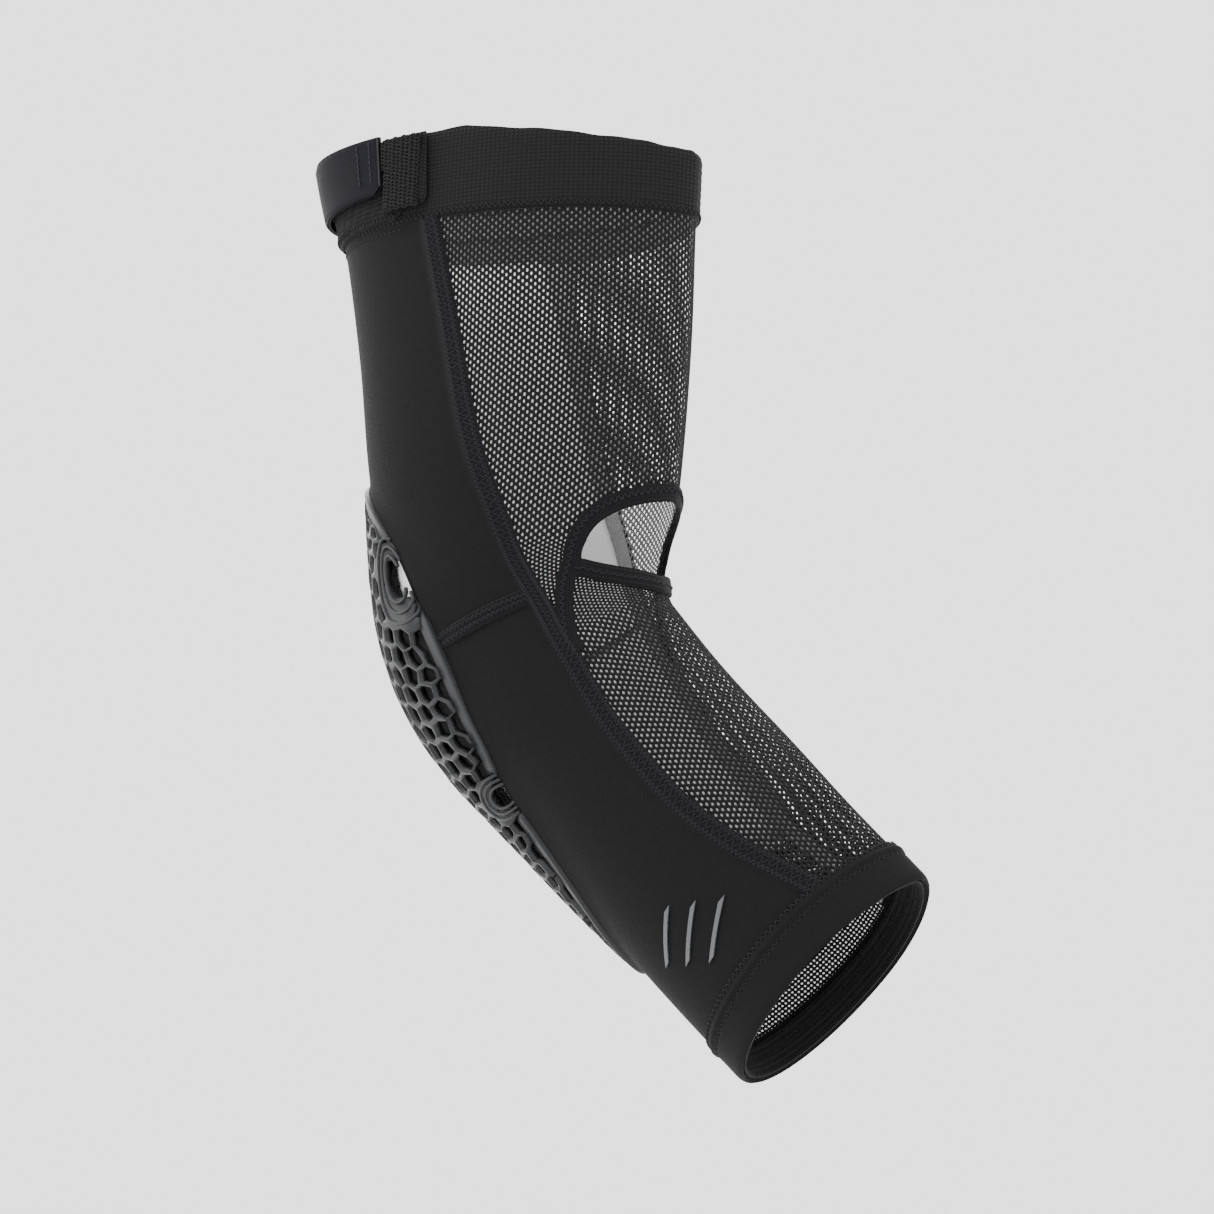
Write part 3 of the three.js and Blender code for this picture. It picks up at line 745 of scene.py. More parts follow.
# %% [markdown]
# ## The knitted back panels
#
# Two pieces of smooth knit wrap the back of the arm from side seam to side seam. They meet at a seam across
# the elbow, and a window is cut out of both for the guard. Each is one slab whose columns run from the seam
# to the window's edge and back to the other seam; the cells between the two edges are left out beside the
# window. Low, wide ripples where the cloth turns in at the elbow come from adding to its height.

# %% Back panels
KNIT_THICKNESS = 1.7


def cloth_ripple(s, angle):
    """Slack in the knit, in mm: long shallow folds that fan out from the elbow and fade along the arm."""
    fade = np.exp(-(((s + 5) / 60) ** 2))
    side = np.sin(np.radians(angle)) ** 2
    folds = np.sin(s / 11 + np.abs(angle) / 23) + 0.6 * np.sin(s / 7.3 - np.abs(angle) / 31 + 1)
    return 0.42 * fade * side * folds


def back_panel(name, rows, closed):
    """Grid columns: seam to window edge, over the back where closed says the window has ended, and on."""
    flank = 26
    first = seam_angle(rows, SEAM_WIDTH / 2 - 0.2)
    edge = 180 - window_half(rows)
    t = np.linspace(0, 1, flank)
    near = first[:, None] * (1 - t) + edge[:, None] * t
    bridge = 180 + (2 * np.linspace(0, 1, 13)[1:-1] - 1) * window_half(rows)[:, None]
    angle = -np.concatenate([near, bridge, 360 - near[:, ::-1]], axis=1)
    s = np.broadcast_to(rows[:, None], angle.shape)
    keep = np.ones((len(rows) - 1, angle.shape[1] - 1), bool)
    beside_window = ~closed((rows[1:] + rows[:-1]) / 2)
    keep[beside_window, flank - 1:flank + 11] = False
    ripple = cloth_ripple(s, angle)
    from_window = np.abs(np.abs(180 + angle) - window_half(s)) * 0.8
    lip = np.where(closed(s), 0, 1.1 * np.exp(-((from_window / 6) ** 2)))
    return slab(name, s, angle, ripple + lip, KNIT_THICKNESS + ripple + lip, keep=keep)


upper_rows = np.concatenate([np.linspace(BAND_EDGE - 2, GUARD_TOP, 46), np.linspace(GUARD_TOP, -1.6, 40)[1:]])
lower_rows = np.concatenate([np.linspace(1.6, GUARD_TIP, 70),
                             np.linspace(GUARD_TIP, CUFF_EDGE + 1.5, 26)[1:]])
upper_back = back_panel("upper_back_panel", upper_rows, lambda s: s < GUARD_TOP)
lower_back = back_panel("lower_back_panel", lower_rows, lambda s: s > GUARD_TIP)
dress(upper_back, KNIT, "knit", "upper_back_panel")
dress(lower_back, KNIT, "knit", "lower_back_panel")
cross_elbow(upper_back, lower_back)
print("back panels, triangles:", triangles(upper_back), triangles(lower_back))

# %% [markdown]
# ## The open mesh
#
# The front of the sleeve is a warp-knit mesh: long holes in staggered columns, with cords that swell where
# three of them meet. Real holes are modelled, because the light comes through them. A cell is only six
# corners and six rim points, so thousands of them stay light. The net's edge is left under the seams.

# %% Mesh panels
MESH_PITCH = (1.42, 2.4)
MESH_HOLE = (0.37, 0.59)
MESH_THICKNESS = 0.30
VENT_CLEAR = BINDING_WIDTH - 1.2


def mesh_hole(s, u):
    """Half-width and half-height of a hole, with a little unevenness from one to the next."""
    uneven = 1 + 0.07 * np.sin(s * 3.1 + u * 5.3) * np.sin(u * 2.3 - s * 1.7)
    return MESH_HOLE[0] * uneven, MESH_HOLE[1] * uneven


def mesh_height(s, u):
    """The net lies 0.8 mm over the sleeve's inner face."""
    return 0.8 + 0 * s


def in_upper_mesh(s, u):
    """From the elastic to the vent's binding, and between the side seams."""
    beside = np.abs(u) < seam_u(s, -SEAM_WIDTH / 2 + 1.2)
    angle = np.abs(angle_at(s, u))
    over_arch = (angle > vent_angle(s, VENT_CLEAR)) | (s < VENT_TOP - VENT_CLEAR)
    leg = leg_inner(s) + mm_as_degrees(VENT_CLEAR, s, VENT_HALF_ANGLE)
    over_leg = (s < ARCH_FOOT) | (angle > leg)
    return beside & over_arch & over_leg & (s > BAND_EDGE - 1.5) & (s < LEG_END - 3)


def in_lower_mesh(s, u):
    """From the vent's lower lip to the cuff, and between the side seams or the binding's legs."""
    angle = np.abs(angle_at(s, u))
    edge = np.where(s < LEG_END, leg_inner(s) + 1.5, seam_angle(s, -SEAM_WIDTH / 2 + 1.2))
    return (angle < edge) & (s > vent_lip(angle) + VENT_CLEAR) & (s < CUFF_EDGE + 1.5)


upper_mesh = cell_cloth("upper_mesh_panel", (BAND_EDGE, LEG_END), (-110, 110), in_upper_mesh, MESH_PITCH,
                        mesh_hole, MESH_THICKNESS, mesh_height)
lower_mesh = cell_cloth("lower_mesh_panel", (-15, CUFF_EDGE), (-90, 90), in_lower_mesh, MESH_PITCH, mesh_hole,
                        MESH_THICKNESS, mesh_height)
dress(upper_mesh, NET, "open_mesh", "upper_mesh_panel")
dress(lower_mesh, NET, "open_mesh", "lower_mesh_panel")
cross_elbow(upper_mesh, lower_mesh)
print("mesh panels, triangles:", triangles(upper_mesh), triangles(lower_mesh))

# %% [markdown]
# ## Flatlock seams
#
# The panels are butted together and joined with a flatlock seam: a soft raised strip with two rows of
# looped stitches and a cover thread wandering between them. The strip is an oval profile carried down the
# seam line, and every stitch row is a thread that zigzags along the same line.

# %% Zigzags and seams
def zigzag(first, last, pitch, width, points_per_stitch=6):
    """Places along a row of zigzag stitches: how far along, and how far to the side. The side is a
    rounded triangle wave, made by taking the arcsine of a slightly flattened sine."""
    count = max(2, int(abs(last - first) / pitch))
    t = np.linspace(0, count, count * points_per_stitch + 1)
    side = np.arcsin(0.96 * np.sin(2 * np.pi * t)) / np.arcsin(0.96)
    return first + (last - first) * t / count, side * width / 2


def rise_and_fall(count, low, high):
    """A thread's height along a zigzag: it dives at each turn and stands up between."""
    t = np.arange(count) * 2 * np.pi / 6
    return low + (high - low) * np.abs(np.cos(t))


SEAM_FACE = 2.25
SEAM_ROWS = [(-2.1, 1.6, 1.9, 0.32), (2.1, 1.6, 1.9, 0.32), (0.0, 2.6, 2.4, 0.26)]


def side_seam(name, sign):
    """One side's seam strip and its stitches."""
    s = np.linspace(BAND_EDGE - 1, CUFF_EDGE + 1, 150)
    strip = band(f"{name}_strip", s, sign * seam_angle(s), oval(SEAM_WIDTH + 0.8, 1.8, 0.45, 16, 0.42))
    rows = [strip]
    for shift, pitch, width, radius in SEAM_ROWS:
        along_arm, side = zigzag(BAND_EDGE, CUFF_EDGE, pitch, width)
        angle = sign * angle_at(along_arm, seam_u(along_arm, shift + side))
        height = rise_and_fall(len(along_arm), SEAM_FACE - 0.25, SEAM_FACE + 0.12)
        rows.append(thread(f"{name}_row", along_arm, angle, height, radius))
    return rows


def elbow_seam(name, sign):
    """The seam across one side of the elbow, from the side seam to the guard's window."""
    u_first = float(seam_u(0.0, SEAM_WIDTH / 2 - 1))
    u_last = float(distance_at(0.0, 180 - window_half(0.0)))
    u = np.linspace(u_first, u_last, 40)
    profile = oval(ELBOW_SEAM_WIDTH + 1.2, 1.6, 0.85, 16, 0.42)
    strip = band(f"{name}_strip", 0 * u, sign * angle_at(0 * u, u), profile)
    rows = [strip]
    for shift in (-1.2, 1.2):
        u, side = zigzag(u_first, u_last, 1.7, 1.5)
        s = shift + side
        height = rise_and_fall(len(u), SEAM_FACE - 0.1, SEAM_FACE + 0.3)
        rows.append(thread(f"{name}_row", s, sign * angle_at(s, u), height, 0.32))
    return rows


for side_name, sign in (("lateral", -1), ("medial", 1)):
    strip, *rows = side_seam(f"side_seam_{side_name}", sign)
    strip.name = f"side_seam_{side_name}"
    dress(strip, SEAM, "seam_thread", f"side_seam_{side_name}")
    stitches = joined(f"side_seam_stitches_{side_name}", rows)
    dress(stitches, THREAD, "seam_thread")
    cross_strip, *cross_rows = elbow_seam(f"elbow_seam_{side_name}", sign)
    cross_strip.name = f"elbow_seam_{side_name}"
    dress(cross_strip, SEAM, "seam_thread", f"elbow_seam_{side_name}")
    cross_stitches = joined(f"elbow_seam_stitches_{side_name}", cross_rows)
    dress(cross_stitches, THREAD, "seam_thread")
    cross_elbow(strip, stitches, cross_strip, cross_stitches)
    print(side_name, "seam triangles:", triangles(strip), triangles(stitches), triangles(cross_stitches))

# %% [markdown]
# ## The vent's bindings
#
# The cut edge of the vent is folded under a soft binding that runs over the arch and down both sides to the
# side seams, and a second binding edges the lower lip. Both are oval profiles with a zigzag on top.

# %% Vent bindings
def binding_profile(width):
    """A soft folded strip: a flattened oval 1.5 mm thick, standing 0.9 mm over the sleeve."""
    return oval(width, 1.5, 0.9, 16, 0.42)


def arch_path(points, off_edge=0.0):
    """The middle line of the binding: up one leg, over the arch and down the other leg."""
    middle = BINDING_WIDTH / 2 + off_edge
    t = np.sin(np.linspace(-1, 1, points) * np.pi / 2)
    arch_s, arch_angle = arch_place(t, middle)
    leg_s = np.linspace(ARCH_FOOT, LEG_END + 4, points // 3)[1:]
    leg_angle = leg_inner(leg_s) + mm_as_degrees(middle, leg_s, VENT_HALF_ANGLE)
    s = np.concatenate([leg_s[::-1], arch_s, leg_s])
    angle = np.concatenate([-leg_angle[::-1], arch_angle, leg_angle])
    return s, angle


def evenly_spaced(s, angle, spacing):
    """The same path with its points a set number of mm apart."""
    path = sleeve(s, angle) / MM
    length = np.concatenate([[0], np.cumsum(np.linalg.norm(np.diff(path, axis=0), axis=1))])
    even = np.linspace(0, length[-1], int(length[-1] / spacing) + 1)
    return np.interp(even, length, s), np.interp(even, length, angle)


def stitched_along(name, s, angle, pitch, width, height, radius=0.3):
    """A zigzag thread that follows a path: each of its points is moved sideways within the cloth."""
    s, angle = evenly_spaced(s, angle, pitch / 6)
    _, side = zigzag(0, len(s) * pitch / 6, pitch, width)
    side = side[:len(s)]
    s, angle = s[:len(side)], angle[:len(side)]
    ds, du = np.gradient(s), np.gradient(distance_at(s, angle))
    size = np.hypot(ds, du)
    moved_s = s - side * du / size
    moved_u = distance_at(s, angle) + side * ds / size
    heights = rise_and_fall(len(s), height - 0.15, height + 0.12)
    return thread(name, moved_s, angle_at(moved_s, moved_u), heights, radius)


arch_s, arch_angle = evenly_spaced(*arch_path(80), 1.2)
vent_binding = band("vent_binding", arch_s, arch_angle, binding_profile(BINDING_WIDTH + 0.8))
lip_angle = np.linspace(-VENT_HALF_ANGLE - 3, VENT_HALF_ANGLE + 3, 70)
lip_s = vent_lip(lip_angle) + BINDING_WIDTH / 2
lip_s, lip_angle = evenly_spaced(lip_s, lip_angle, 1.2)
lip_binding = band("vent_lip_binding", lip_s, lip_angle, binding_profile(BINDING_WIDTH + 0.8))
dress(vent_binding, BINDING, "seam_thread", "vent_binding")
dress(lip_binding, BINDING, "seam_thread", "vent_lip_binding")
vent_stitches = joined("vent_binding_stitches", [
    stitched_along("arch_row", *arch_path(80, 0.9), 2.4, 1.7, 2.45),
    stitched_along("lip_row", lip_s + 0.6, lip_angle, 2.6, 1.5, 2.45),
])
dress(vent_stitches, THREAD, "seam_thread")
cross_elbow(vent_binding, lip_binding, vent_stitches)
print("vent binding, mm long:", round(len(arch_s) * 1.2))

# %% [markdown]
# ## The pad: lining, foam and moulded guard
#
# The guard is a soft rubbery moulding. From outside it is a lattice of uneven cells about 6 mm wide whose
# thin walls stand over the foam, so each cell is a small dark well. Two places are solid: round a drop-shaped
# opening near the top, and round a circular one further down, each with ridges that echo its outline. A
# smooth rim closes the lattice's edge and is stitched into the window. The cell pattern is laid out in
# millimetres, and near each opening its points are pushed outwards, which leaves the opening itself free.

# %% Guard surface
CELL = (5.6, 6.4)
RIM_WIDTH = 3.2
GUARD_EDGE = 3.4
RING_REACH = 9.5
RING_HOLE = 2.7
# columns: s, degrees from the back, stretch of the opening down the arm
RINGS = np.array([(-21, 60, 1.6), (-21, -60, 1.6), (42, 43, 1.0), (42, -43, 1.0)], float)


def guard_u(s, back_angle):
    """Distance from the front fold of a place given in degrees from the back, running over the back."""
    return distance_at(s, 180 + np.asarray(back_angle, float))


def guard_height(s, u, inset=0.0):
    """Height of the guard over the sleeve: its crown along the back, falling along a quarter ellipse
    towards the window's edge."""
    back_angle = angle_at(s, u) - 180
    across = np.clip(np.abs(back_angle) / window_half(s), 0, 1)
    crown = through(GUARD_CROWN, s)[0]
    return GUARD_EDGE + (crown - GUARD_EDGE) * np.sqrt(1 - across**2) + inset


def dish(s, u):
    """How far the guard dips towards the nearest opening, in mm."""
    return 1.3 * np.clip(1 - ring_distance(s, u)[0] / RING_REACH, 0, 1) ** 0.7


def nearest_cell(s, u):
    """The centre of the lattice cell nearest to a place; every second column stands half a cell lower."""
    column = np.round(u / CELL[0])
    half = (np.abs(column) % 2) / 2
    return (np.round(s / CELL[1] - half) + half) * CELL[1], column * CELL[0]


ring_s, ring_u = nearest_cell(RINGS[:, 0], guard_u(RINGS[:, 0], RINGS[:, 1]))
ring_tall = RINGS[:, 2]


def ring_distance(s, u):
    """Distance in mm to the nearest opening's centre, measured so that its outline is a circle, and which
    opening that is. The upper openings are drops: they narrow upwards."""
    down_arm = (s[..., None] - ring_s) / ring_tall
    across = (u[..., None] - ring_u) * np.where(ring_tall > 1, 1 + 0.32 * np.clip(-down_arm / 6, -1, 1), 1)
    distance = np.hypot(down_arm, across)
    nearest = distance.argmin(-1)
    return np.take_along_axis(distance, nearest[..., None], -1)[..., 0], nearest


def push_from_rings(points):
    """Move pattern points (s, u) away from the openings: a distance r under the reach R becomes
    r0 + (R - r0) r / R, so the centre opens into a hole of radius r0."""
    s, u = points[:, 0], points[:, 1]
    distance, nearest = ring_distance(s, u)
    near = distance < RING_REACH
    moved = RING_HOLE + (RING_REACH - RING_HOLE) * distance / RING_REACH
    scale = np.where(near, moved / np.maximum(distance, 0.05), 1)
    centre = np.stack([ring_s[nearest], ring_u[nearest]], -1)
    return centre + (points - centre) * scale[:, None]


def wobble(points, size=0.7):
    """Uneven cells: every point moves a little, by amounts that only depend on where it is."""
    s, u = points[:, 0], points[:, 1]
    ds = np.sin(s * 1.3 + u * 0.7) * np.cos(u * 0.9 - s * 0.4)
    du = np.sin(u * 1.1 - s * 0.8 + 2) * np.cos(s * 0.6 + u * 0.5)
    return points + size * np.stack([ds, du], -1)


# %% Guard lattice

def cell_hole(s, u):
    """Walls about 1 mm thick: the hexagon's corners lie on an oval, and the hole is a smaller oval."""
    share = 0.83 + 0.05 * np.sin(s * 0.9 + u * 1.3)
    return CELL[0] * 0.667 * share, CELL[1] * 0.577 * share


def in_window(s, u, inset):
    """Whether a place is inside the guard's window by a length in mm."""
    reach = guard_u(s, window_half(s)) - guard_u(s, 0 * s) - inset
    inside_ends = (s > GUARD_TOP + inset * 1.3) & (s < GUARD_TIP - inset * 1.6)
    return (np.abs(u - guard_u(s, 0 * s)) < reach) & inside_ends


def near_ring(s, u):
    """Cells that touch an opening's ridged plate are filled."""
    return ring_distance(s, u)[0] < RING_REACH


def window_inset(s, u):
    """Where the lattice stops: under the rim, but under the cloth where an opening takes the rim's place."""
    near = np.clip((ring_distance(s, u)[0] - RING_REACH + 2) / 3, 0, 1)
    return 0.2 + (RIM_WIDTH - 0.2) * near


def in_lattice(s, u):
    """Cells whose centres are well inside, so that the outermost ones are cut rather than dropped."""
    return in_window(s, u, window_inset(s, u) + 0.9) & (ring_distance(s, u)[0] > 2.6)


def hold_inside(points):
    """Bring pattern points that stick out over the window's edge back to it."""
    s = np.clip(points[:, 0], GUARD_TOP + 1.5, GUARD_TIP - 2)
    u, middle = points[:, 1], guard_u(s, 0 * s)
    reach = np.maximum(guard_u(s, window_half(s)) - middle - window_inset(s, u), 0.3)
    return np.stack([s, middle + np.clip(u - middle, -reach, reach)], -1)


lattice = cell_cloth("guard_lattice", (GUARD_TOP, GUARD_TIP), (30, 240), in_lattice, CELL, cell_hole, 1.0,
                     lambda s, u: guard_height(s, u, 0.1) - dish(s, u),
                     shift=lambda points: hold_inside(wobble(push_from_rings(points))), solid=near_ring,
                     depth=3.4)
print("lattice triangles:", triangles(lattice))


# %% Ridges, rim, foam and lining
def ridge(place, radius):
    """One ridge round an opening: the part of its outline that lies inside the guard's window. The opening's
    own measure gives the outline, so the drop's ridges are drops too."""
    side = -np.sign(RINGS[place, 1])
    turn = np.radians(np.linspace(-150, 150, 76))
    tall = ring_tall[place]
    down_arm = radius * np.sin(turn)
    narrow = 1 + 0.32 * np.clip(-down_arm / 6, -1, 1) if tall > 1 else 1
    s = ring_s[place] + down_arm * tall
    u = ring_u[place] + side * radius * np.cos(turn) / narrow
    kept = in_window(s, u, -0.6)
    s, u = s[kept], u[kept]
    height = guard_height(s, u) - dish(s, u) + 0.05
    return band("ridge", s, angle_at(s, u), oval(1.15, 1.5, -0.8, 8, 0.8), heights=height)


def sideways(s, u, shift, closed=False):
    """Move a path on the cloth to its side by a length in mm, at right angles to its own direction."""
    if closed:
        ds, du = np.roll(s, -1) - np.roll(s, 1), np.roll(u, -1) - np.roll(u, 1)
    else:
        ds, du = np.gradient(s), np.gradient(u)
    size = np.hypot(ds, du)
    return s - shift * du / size, u + shift * ds / size


def window_outline(inset, spacing=1.5):
    """The window's outline, down one side and back up the other, moved inwards by an inset."""
    rows = GUARD_TOP + (GUARD_TIP - GUARD_TOP) * (1 - np.cos(np.linspace(0, np.pi, 90))) / 2
    s = np.concatenate([rows, rows[::-1]])
    u = np.concatenate([guard_u(rows, window_half(rows)), guard_u(rows, -window_half(rows))[::-1]])
    loop_s, loop_u = np.append(s, s[0]), np.append(u, u[0])
    length = np.concatenate([[0], np.cumsum(np.hypot(np.diff(loop_s), np.diff(loop_u)))])
    even = np.linspace(0, length[-1], int(length[-1] / spacing), endpoint=False)
    s, u = np.interp(even, length, loop_s), np.interp(even, length, loop_u)
    kernel = np.array([1, 2, 3, 2, 1]) / 9
    for _ in range(3):
        s = sum(w * np.roll(s, k - 2) for k, w in enumerate(kernel))
        u = sum(w * np.roll(u, k - 2) for k, w in enumerate(kernel))
    return sideways(s, u, -inset, closed=True)


rim_s, rim_u = window_outline(RIM_WIDTH / 2 - 0.2)
fade = np.clip((ring_distance(rim_s, rim_u)[0] - 5.5) / 4, 0.05, 1)
rim_profile = oval(RIM_WIDTH + 1.2, 3.0, 1.3, 16, 0.3)
rim_rows = rim_profile[None] * np.stack([fade, 0.55 + 0.45 * fade], -1)[:, None]
guard_rim = band("guard_rim", rim_s, angle_at(rim_s, rim_u), rim_rows, closed=True)
ridges = joined("guard_ridges", [ridge(i, r) for i in range(4) for r in (4.0, 5.9, 7.8)])

foam_rows = np.linspace(GUARD_TOP + 0.4, GUARD_TIP - 0.4, 170)
foam_edge = np.maximum(window_half(foam_rows) - mm_as_degrees(0.8, foam_rows, 180), 2)
foam_s, foam_back = between(foam_rows, -foam_edge, foam_edge, 130)
foam_u = guard_u(foam_s, foam_back)
pillow = 0.35 * np.sin(foam_s * 2 * np.pi / CELL[1]) * np.sin(foam_u * 2 * np.pi / CELL[0])
foam_top = guard_height(foam_s, foam_u) - dish(foam_s, foam_u) - 3.0 + pillow
middle_s, middle_u = (foam_s[1:, 1:] + foam_s[:-1, :-1]) / 2, (foam_u[1:, 1:] + foam_u[:-1, :-1]) / 2
foam_keep = ring_distance(middle_s, middle_u)[0] > RING_HOLE + 1.2
foam = slab("impact_foam", foam_s, 180 + foam_back, 1.25, np.maximum(foam_top, 1.5), keep=foam_keep)
lining_rows = np.linspace(GUARD_TOP - 1.5, GUARD_TIP + 1.5, 70)
lining_edge = window_half(np.clip(lining_rows, GUARD_TOP, GUARD_TIP)) + mm_as_degrees(2, lining_rows, 180)
lining_s, lining_back = between(lining_rows, -lining_edge, lining_edge, 50)
lining = slab("pad_lining", lining_s, 180 + lining_back, -0.2, 0.5)


def moulded_finish(name, dark, light, roughness):
    """Satin rubber: mottled by fine grain, a little glossier where the mould was smooth."""
    finish = Finish(name, roughness, 0.0, 0.2)
    grain = finish.noise(finish.scaled("Object", 1000, 1000, 1000), 0.5, 4)
    fine = finish.noise(finish.scaled("Object", 1000, 1000, 1000), 5, 2)
    finish.paint(finish.colours(grain, dark, light))
    settings = {"Value": grain, "To Min": roughness - 0.08, "To Max": roughness + 0.1}
    spread = finish.add("ShaderNodeMapRange", settings)
    finish.tree.links.new(spread.outputs[0], finish.shader.inputs["Roughness"])
    finish.emboss(fine, 0.00006, 0.5)
    return finish.material


GUARD = moulded_finish("guard_rubber", (0.010, 0.0102, 0.011), (0.0165, 0.0168, 0.018), 0.42)
FOAM = moulded_finish("foam_surface", (0.003, 0.003, 0.0033), (0.0065, 0.0065, 0.007), 0.9)
LINING = pebble_finish("lining_mesh", (0.6, 0.6, 0.61), (0.86, 0.86, 0.86), 0.8, 0.8)
dress(lattice, GUARD, "guard_plastic", "guard_lattice")
dress(guard_rim, GUARD, "guard_plastic", "guard_rim")
dress(ridges, GUARD, "guard_plastic")
dress(foam, FOAM, "foam", "impact_foam")
dress(lining, LINING, "open_mesh", "pad_lining")
cross_elbow(lattice, guard_rim, ridges, foam, lining)
print("guard triangles:", triangles(lattice), triangles(guard_rim), triangles(ridges), triangles(foam))

# %% [markdown]
# ## The top: elastic, silicone, webbing and the strap
#
# A soft elastic doubles the rim. Two silicone lines on its inside stop it sliding. On the strap side a short
# webbing is sewn to the elastic, and its end is caught under a laminated tab with a rounded corner. The tab
# reaches round the back, where a hook patch under it meets a wide loop patch. The tab turns at its sewn end.

# %% Elastic and silicone
RIM_COLUMNS = 144
RIM_TILT = 9


def tilted(s, angle):
    """The elastic's rim lies lower in front, by the tilt times the cosine of the angle; its foot is level."""
    share = (BAND_EDGE - s) / BAND_WIDTH
    return s + RIM_TILT * share * np.maximum(0, np.cos(np.radians(angle)))


top_rows = np.linspace(UPPER_RIM, BAND_EDGE, 34)
band_s, band_angle = round_the_arm(top_rows, columns=RIM_COLUMNS)
band_s = tilted(band_s, band_angle)
edge_wave = 0.22 * np.sin(np.radians(band_angle) * 13) + 0.12 * np.sin(np.radians(band_angle) * 29 + 1)
near_top = np.clip(1 - (top_rows - UPPER_RIM) / 5, 0, 1)[:, None]
near_foot = np.clip(1 - (BAND_EDGE - top_rows) / 4, 0, 1)[:, None]
roll_in = np.sqrt(np.clip(1 - np.maximum(near_top, near_foot) ** 2.2, 0, 1))
rib = 0.10 * np.sin(band_s * 2 * np.pi / 2.6) * (1 - near_top)
elastic = slab("upper_elastic_band", band_s + edge_wave * near_top, band_angle, 0.9 * (1 - roll_in),
               1.15 + 1.05 * roll_in + rib, ring=True)
silicone_lines = {}
for name, place in (("upper_silicone_line", -162.7), ("lower_silicone_line", -152.8)):
    round_angle = np.linspace(-180, 180, RIM_COLUMNS, endpoint=False)
    waves = tilted(place, round_angle) + 0.9 * np.sin(np.radians(round_angle) * 34)
    silicone_lines[name] = band(name, waves, round_angle, oval(2.4, 0.75, -0.85, 10, 0.8), closed=True)


def grip_finish(name):
    """Clear silicone gone milky: dark, glossy, with small bubbles."""
    finish = Finish(name, 0.28, 0.0, 0.4)
    bubbles = finish.noise(finish.scaled("Object", 1000, 1000, 1000), 1.3, 2)
    finish.paint(finish.colours(bubbles, (0.05, 0.05, 0.052), (0.12, 0.12, 0.125)))
    finish.emboss(bubbles, 0.0001, 0.4)
    return finish.material


SILICONE = grip_finish("silicone_grip")
dress(elastic, ELASTIC, "woven_elastic", "upper_elastic_band")
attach(elastic, "upper_sleeve")
for name, line in silicone_lines.items():
    dress(line, SILICONE, "silicone", name)
    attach(line, "upper_sleeve")

# %% [markdown]
# The loop patch is a pile: its face is a slab whose height is ruffled by two layers of waves. The hook patch
# is stiff and has real hooks. They are too small to model one by one, so the patch is a plain slab and the
# fine grain of its finish stands for them.

# %% Loop patch, hook patch, webbing and tab
def patch(name, s_ends, angle_ends, low, high, spacing, relief=None, corner=0.0, edge_drop=0.5):
    """A sewn-on patch: a slab between two rows and two angles, rounded at its corners by pulling them in,
    thinner at its edge, with an optional relief."""
    rows = max(3, int(abs(s_ends[1] - s_ends[0]) / spacing))
    width = float(abs(distance_at(s_ends[0], angle_ends[1]) - distance_at(s_ends[0], angle_ends[0])))
    columns = max(3, int(width / spacing))
    a, b = np.meshgrid(np.linspace(0, 1, rows), np.linspace(0, 1, columns), indexing="ij")
    length = abs(s_ends[1] - s_ends[0])
    if corner:
        reach = length - corner
        from_end = np.minimum(b, 1 - b) * width
        arc = np.sqrt(np.clip(corner**2 - (corner - from_end) ** 2, 0, None))
        short = np.where(from_end < corner, corner - arc, 0)
        a = a * (1 - short / max(reach + corner, 1e-6))
    s = s_ends[0] + (s_ends[1] - s_ends[0]) * a
    angle = angle_ends[0] + (angle_ends[1] - angle_ends[0]) * b
    to_edge = np.minimum(np.minimum(b, 1 - b) * width, np.minimum(a, 1 - a) * length)
    soft = 1 - np.clip(1 - to_edge / 1.2, 0, 1) ** 2
    top = high - edge_drop * (1 - soft)
    if relief is not None:
        top = top + relief(s, distance_at(s, angle)) * soft
    return slab(name, s, angle, low, top)


def pile(s, u):
    """Loops standing up in tufts: a coarse clump and a fine one."""
    return 0.22 * np.sin(s * 3.9 + 2 * np.sin(u * 1.7)) * np.sin(u * 4.3) + 0.12 * np.sin(u * 1.1 + s * 0.6)


def tab_bow(s, u):
    """The laminate bows up between its stitched end and its hook."""
    return 0.15 * np.sin(u * 0.11) * np.sin((s - UPPER_RIM) * 0.16)


TAB_TOP = 7.1
loop_patch = patch("loop_patch", (-171.6, -142.6), (-226, -110), 2.1, 3.55, 0.62, pile, 6, 0.9)
hook_patch = patch("strap_hook_patch", (-169.5, -155), (-212, -160), 3.9, 5.1, 0.65, None, 3, 0.3)
tab = patch("strap_tab", (-172.4, -152), (-214, -115.9), 5.3, TAB_TOP, 0.8, tab_bow, 4, 0.55)
webbing = patch("strap_webbing", (-171.5, -146.5), (-116.2, -101), 3.4, 5.6, 1.0, None, 2, 1.6)
weave = cell_cloth("webbing_weave", (-169.5, -147), (-150, 0),
                   lambda s, u: (angle_at(s, u) > -115.4) & (angle_at(s, u) < -102.2), (1.9, 1.25),
                   lambda s, u: (0.36 + 0 * s, 0.26 + 0 * s), 0.7,
                   lambda s, u: (5.9 + 0.5 * np.sin((angle_at(s, u) + 101) * np.pi / -15)
                                 + 0.12 * np.sin(s * 2.5)))


def laminate_finish(name, dark, light):
    """A tightly woven laminate, slightly blue, with a low sheen and a fine grain."""
    finish = Finish(name, 0.7, 0.0, 0.05)
    cloth = finish.scaled("UV", 1000, 1000)
    across, along = finish.wave(cloth, "X", 0.7, 0.2), finish.wave(cloth, "Y", 0.7, 0.2)
    weave_lines = finish.math("MULTIPLY", across, along)
    finish.paint(finish.colours(finish.noise(cloth, 0.4, 5), dark, light))
    finish.emboss(weave_lines, 0.00008, 0.5)
    return finish.material


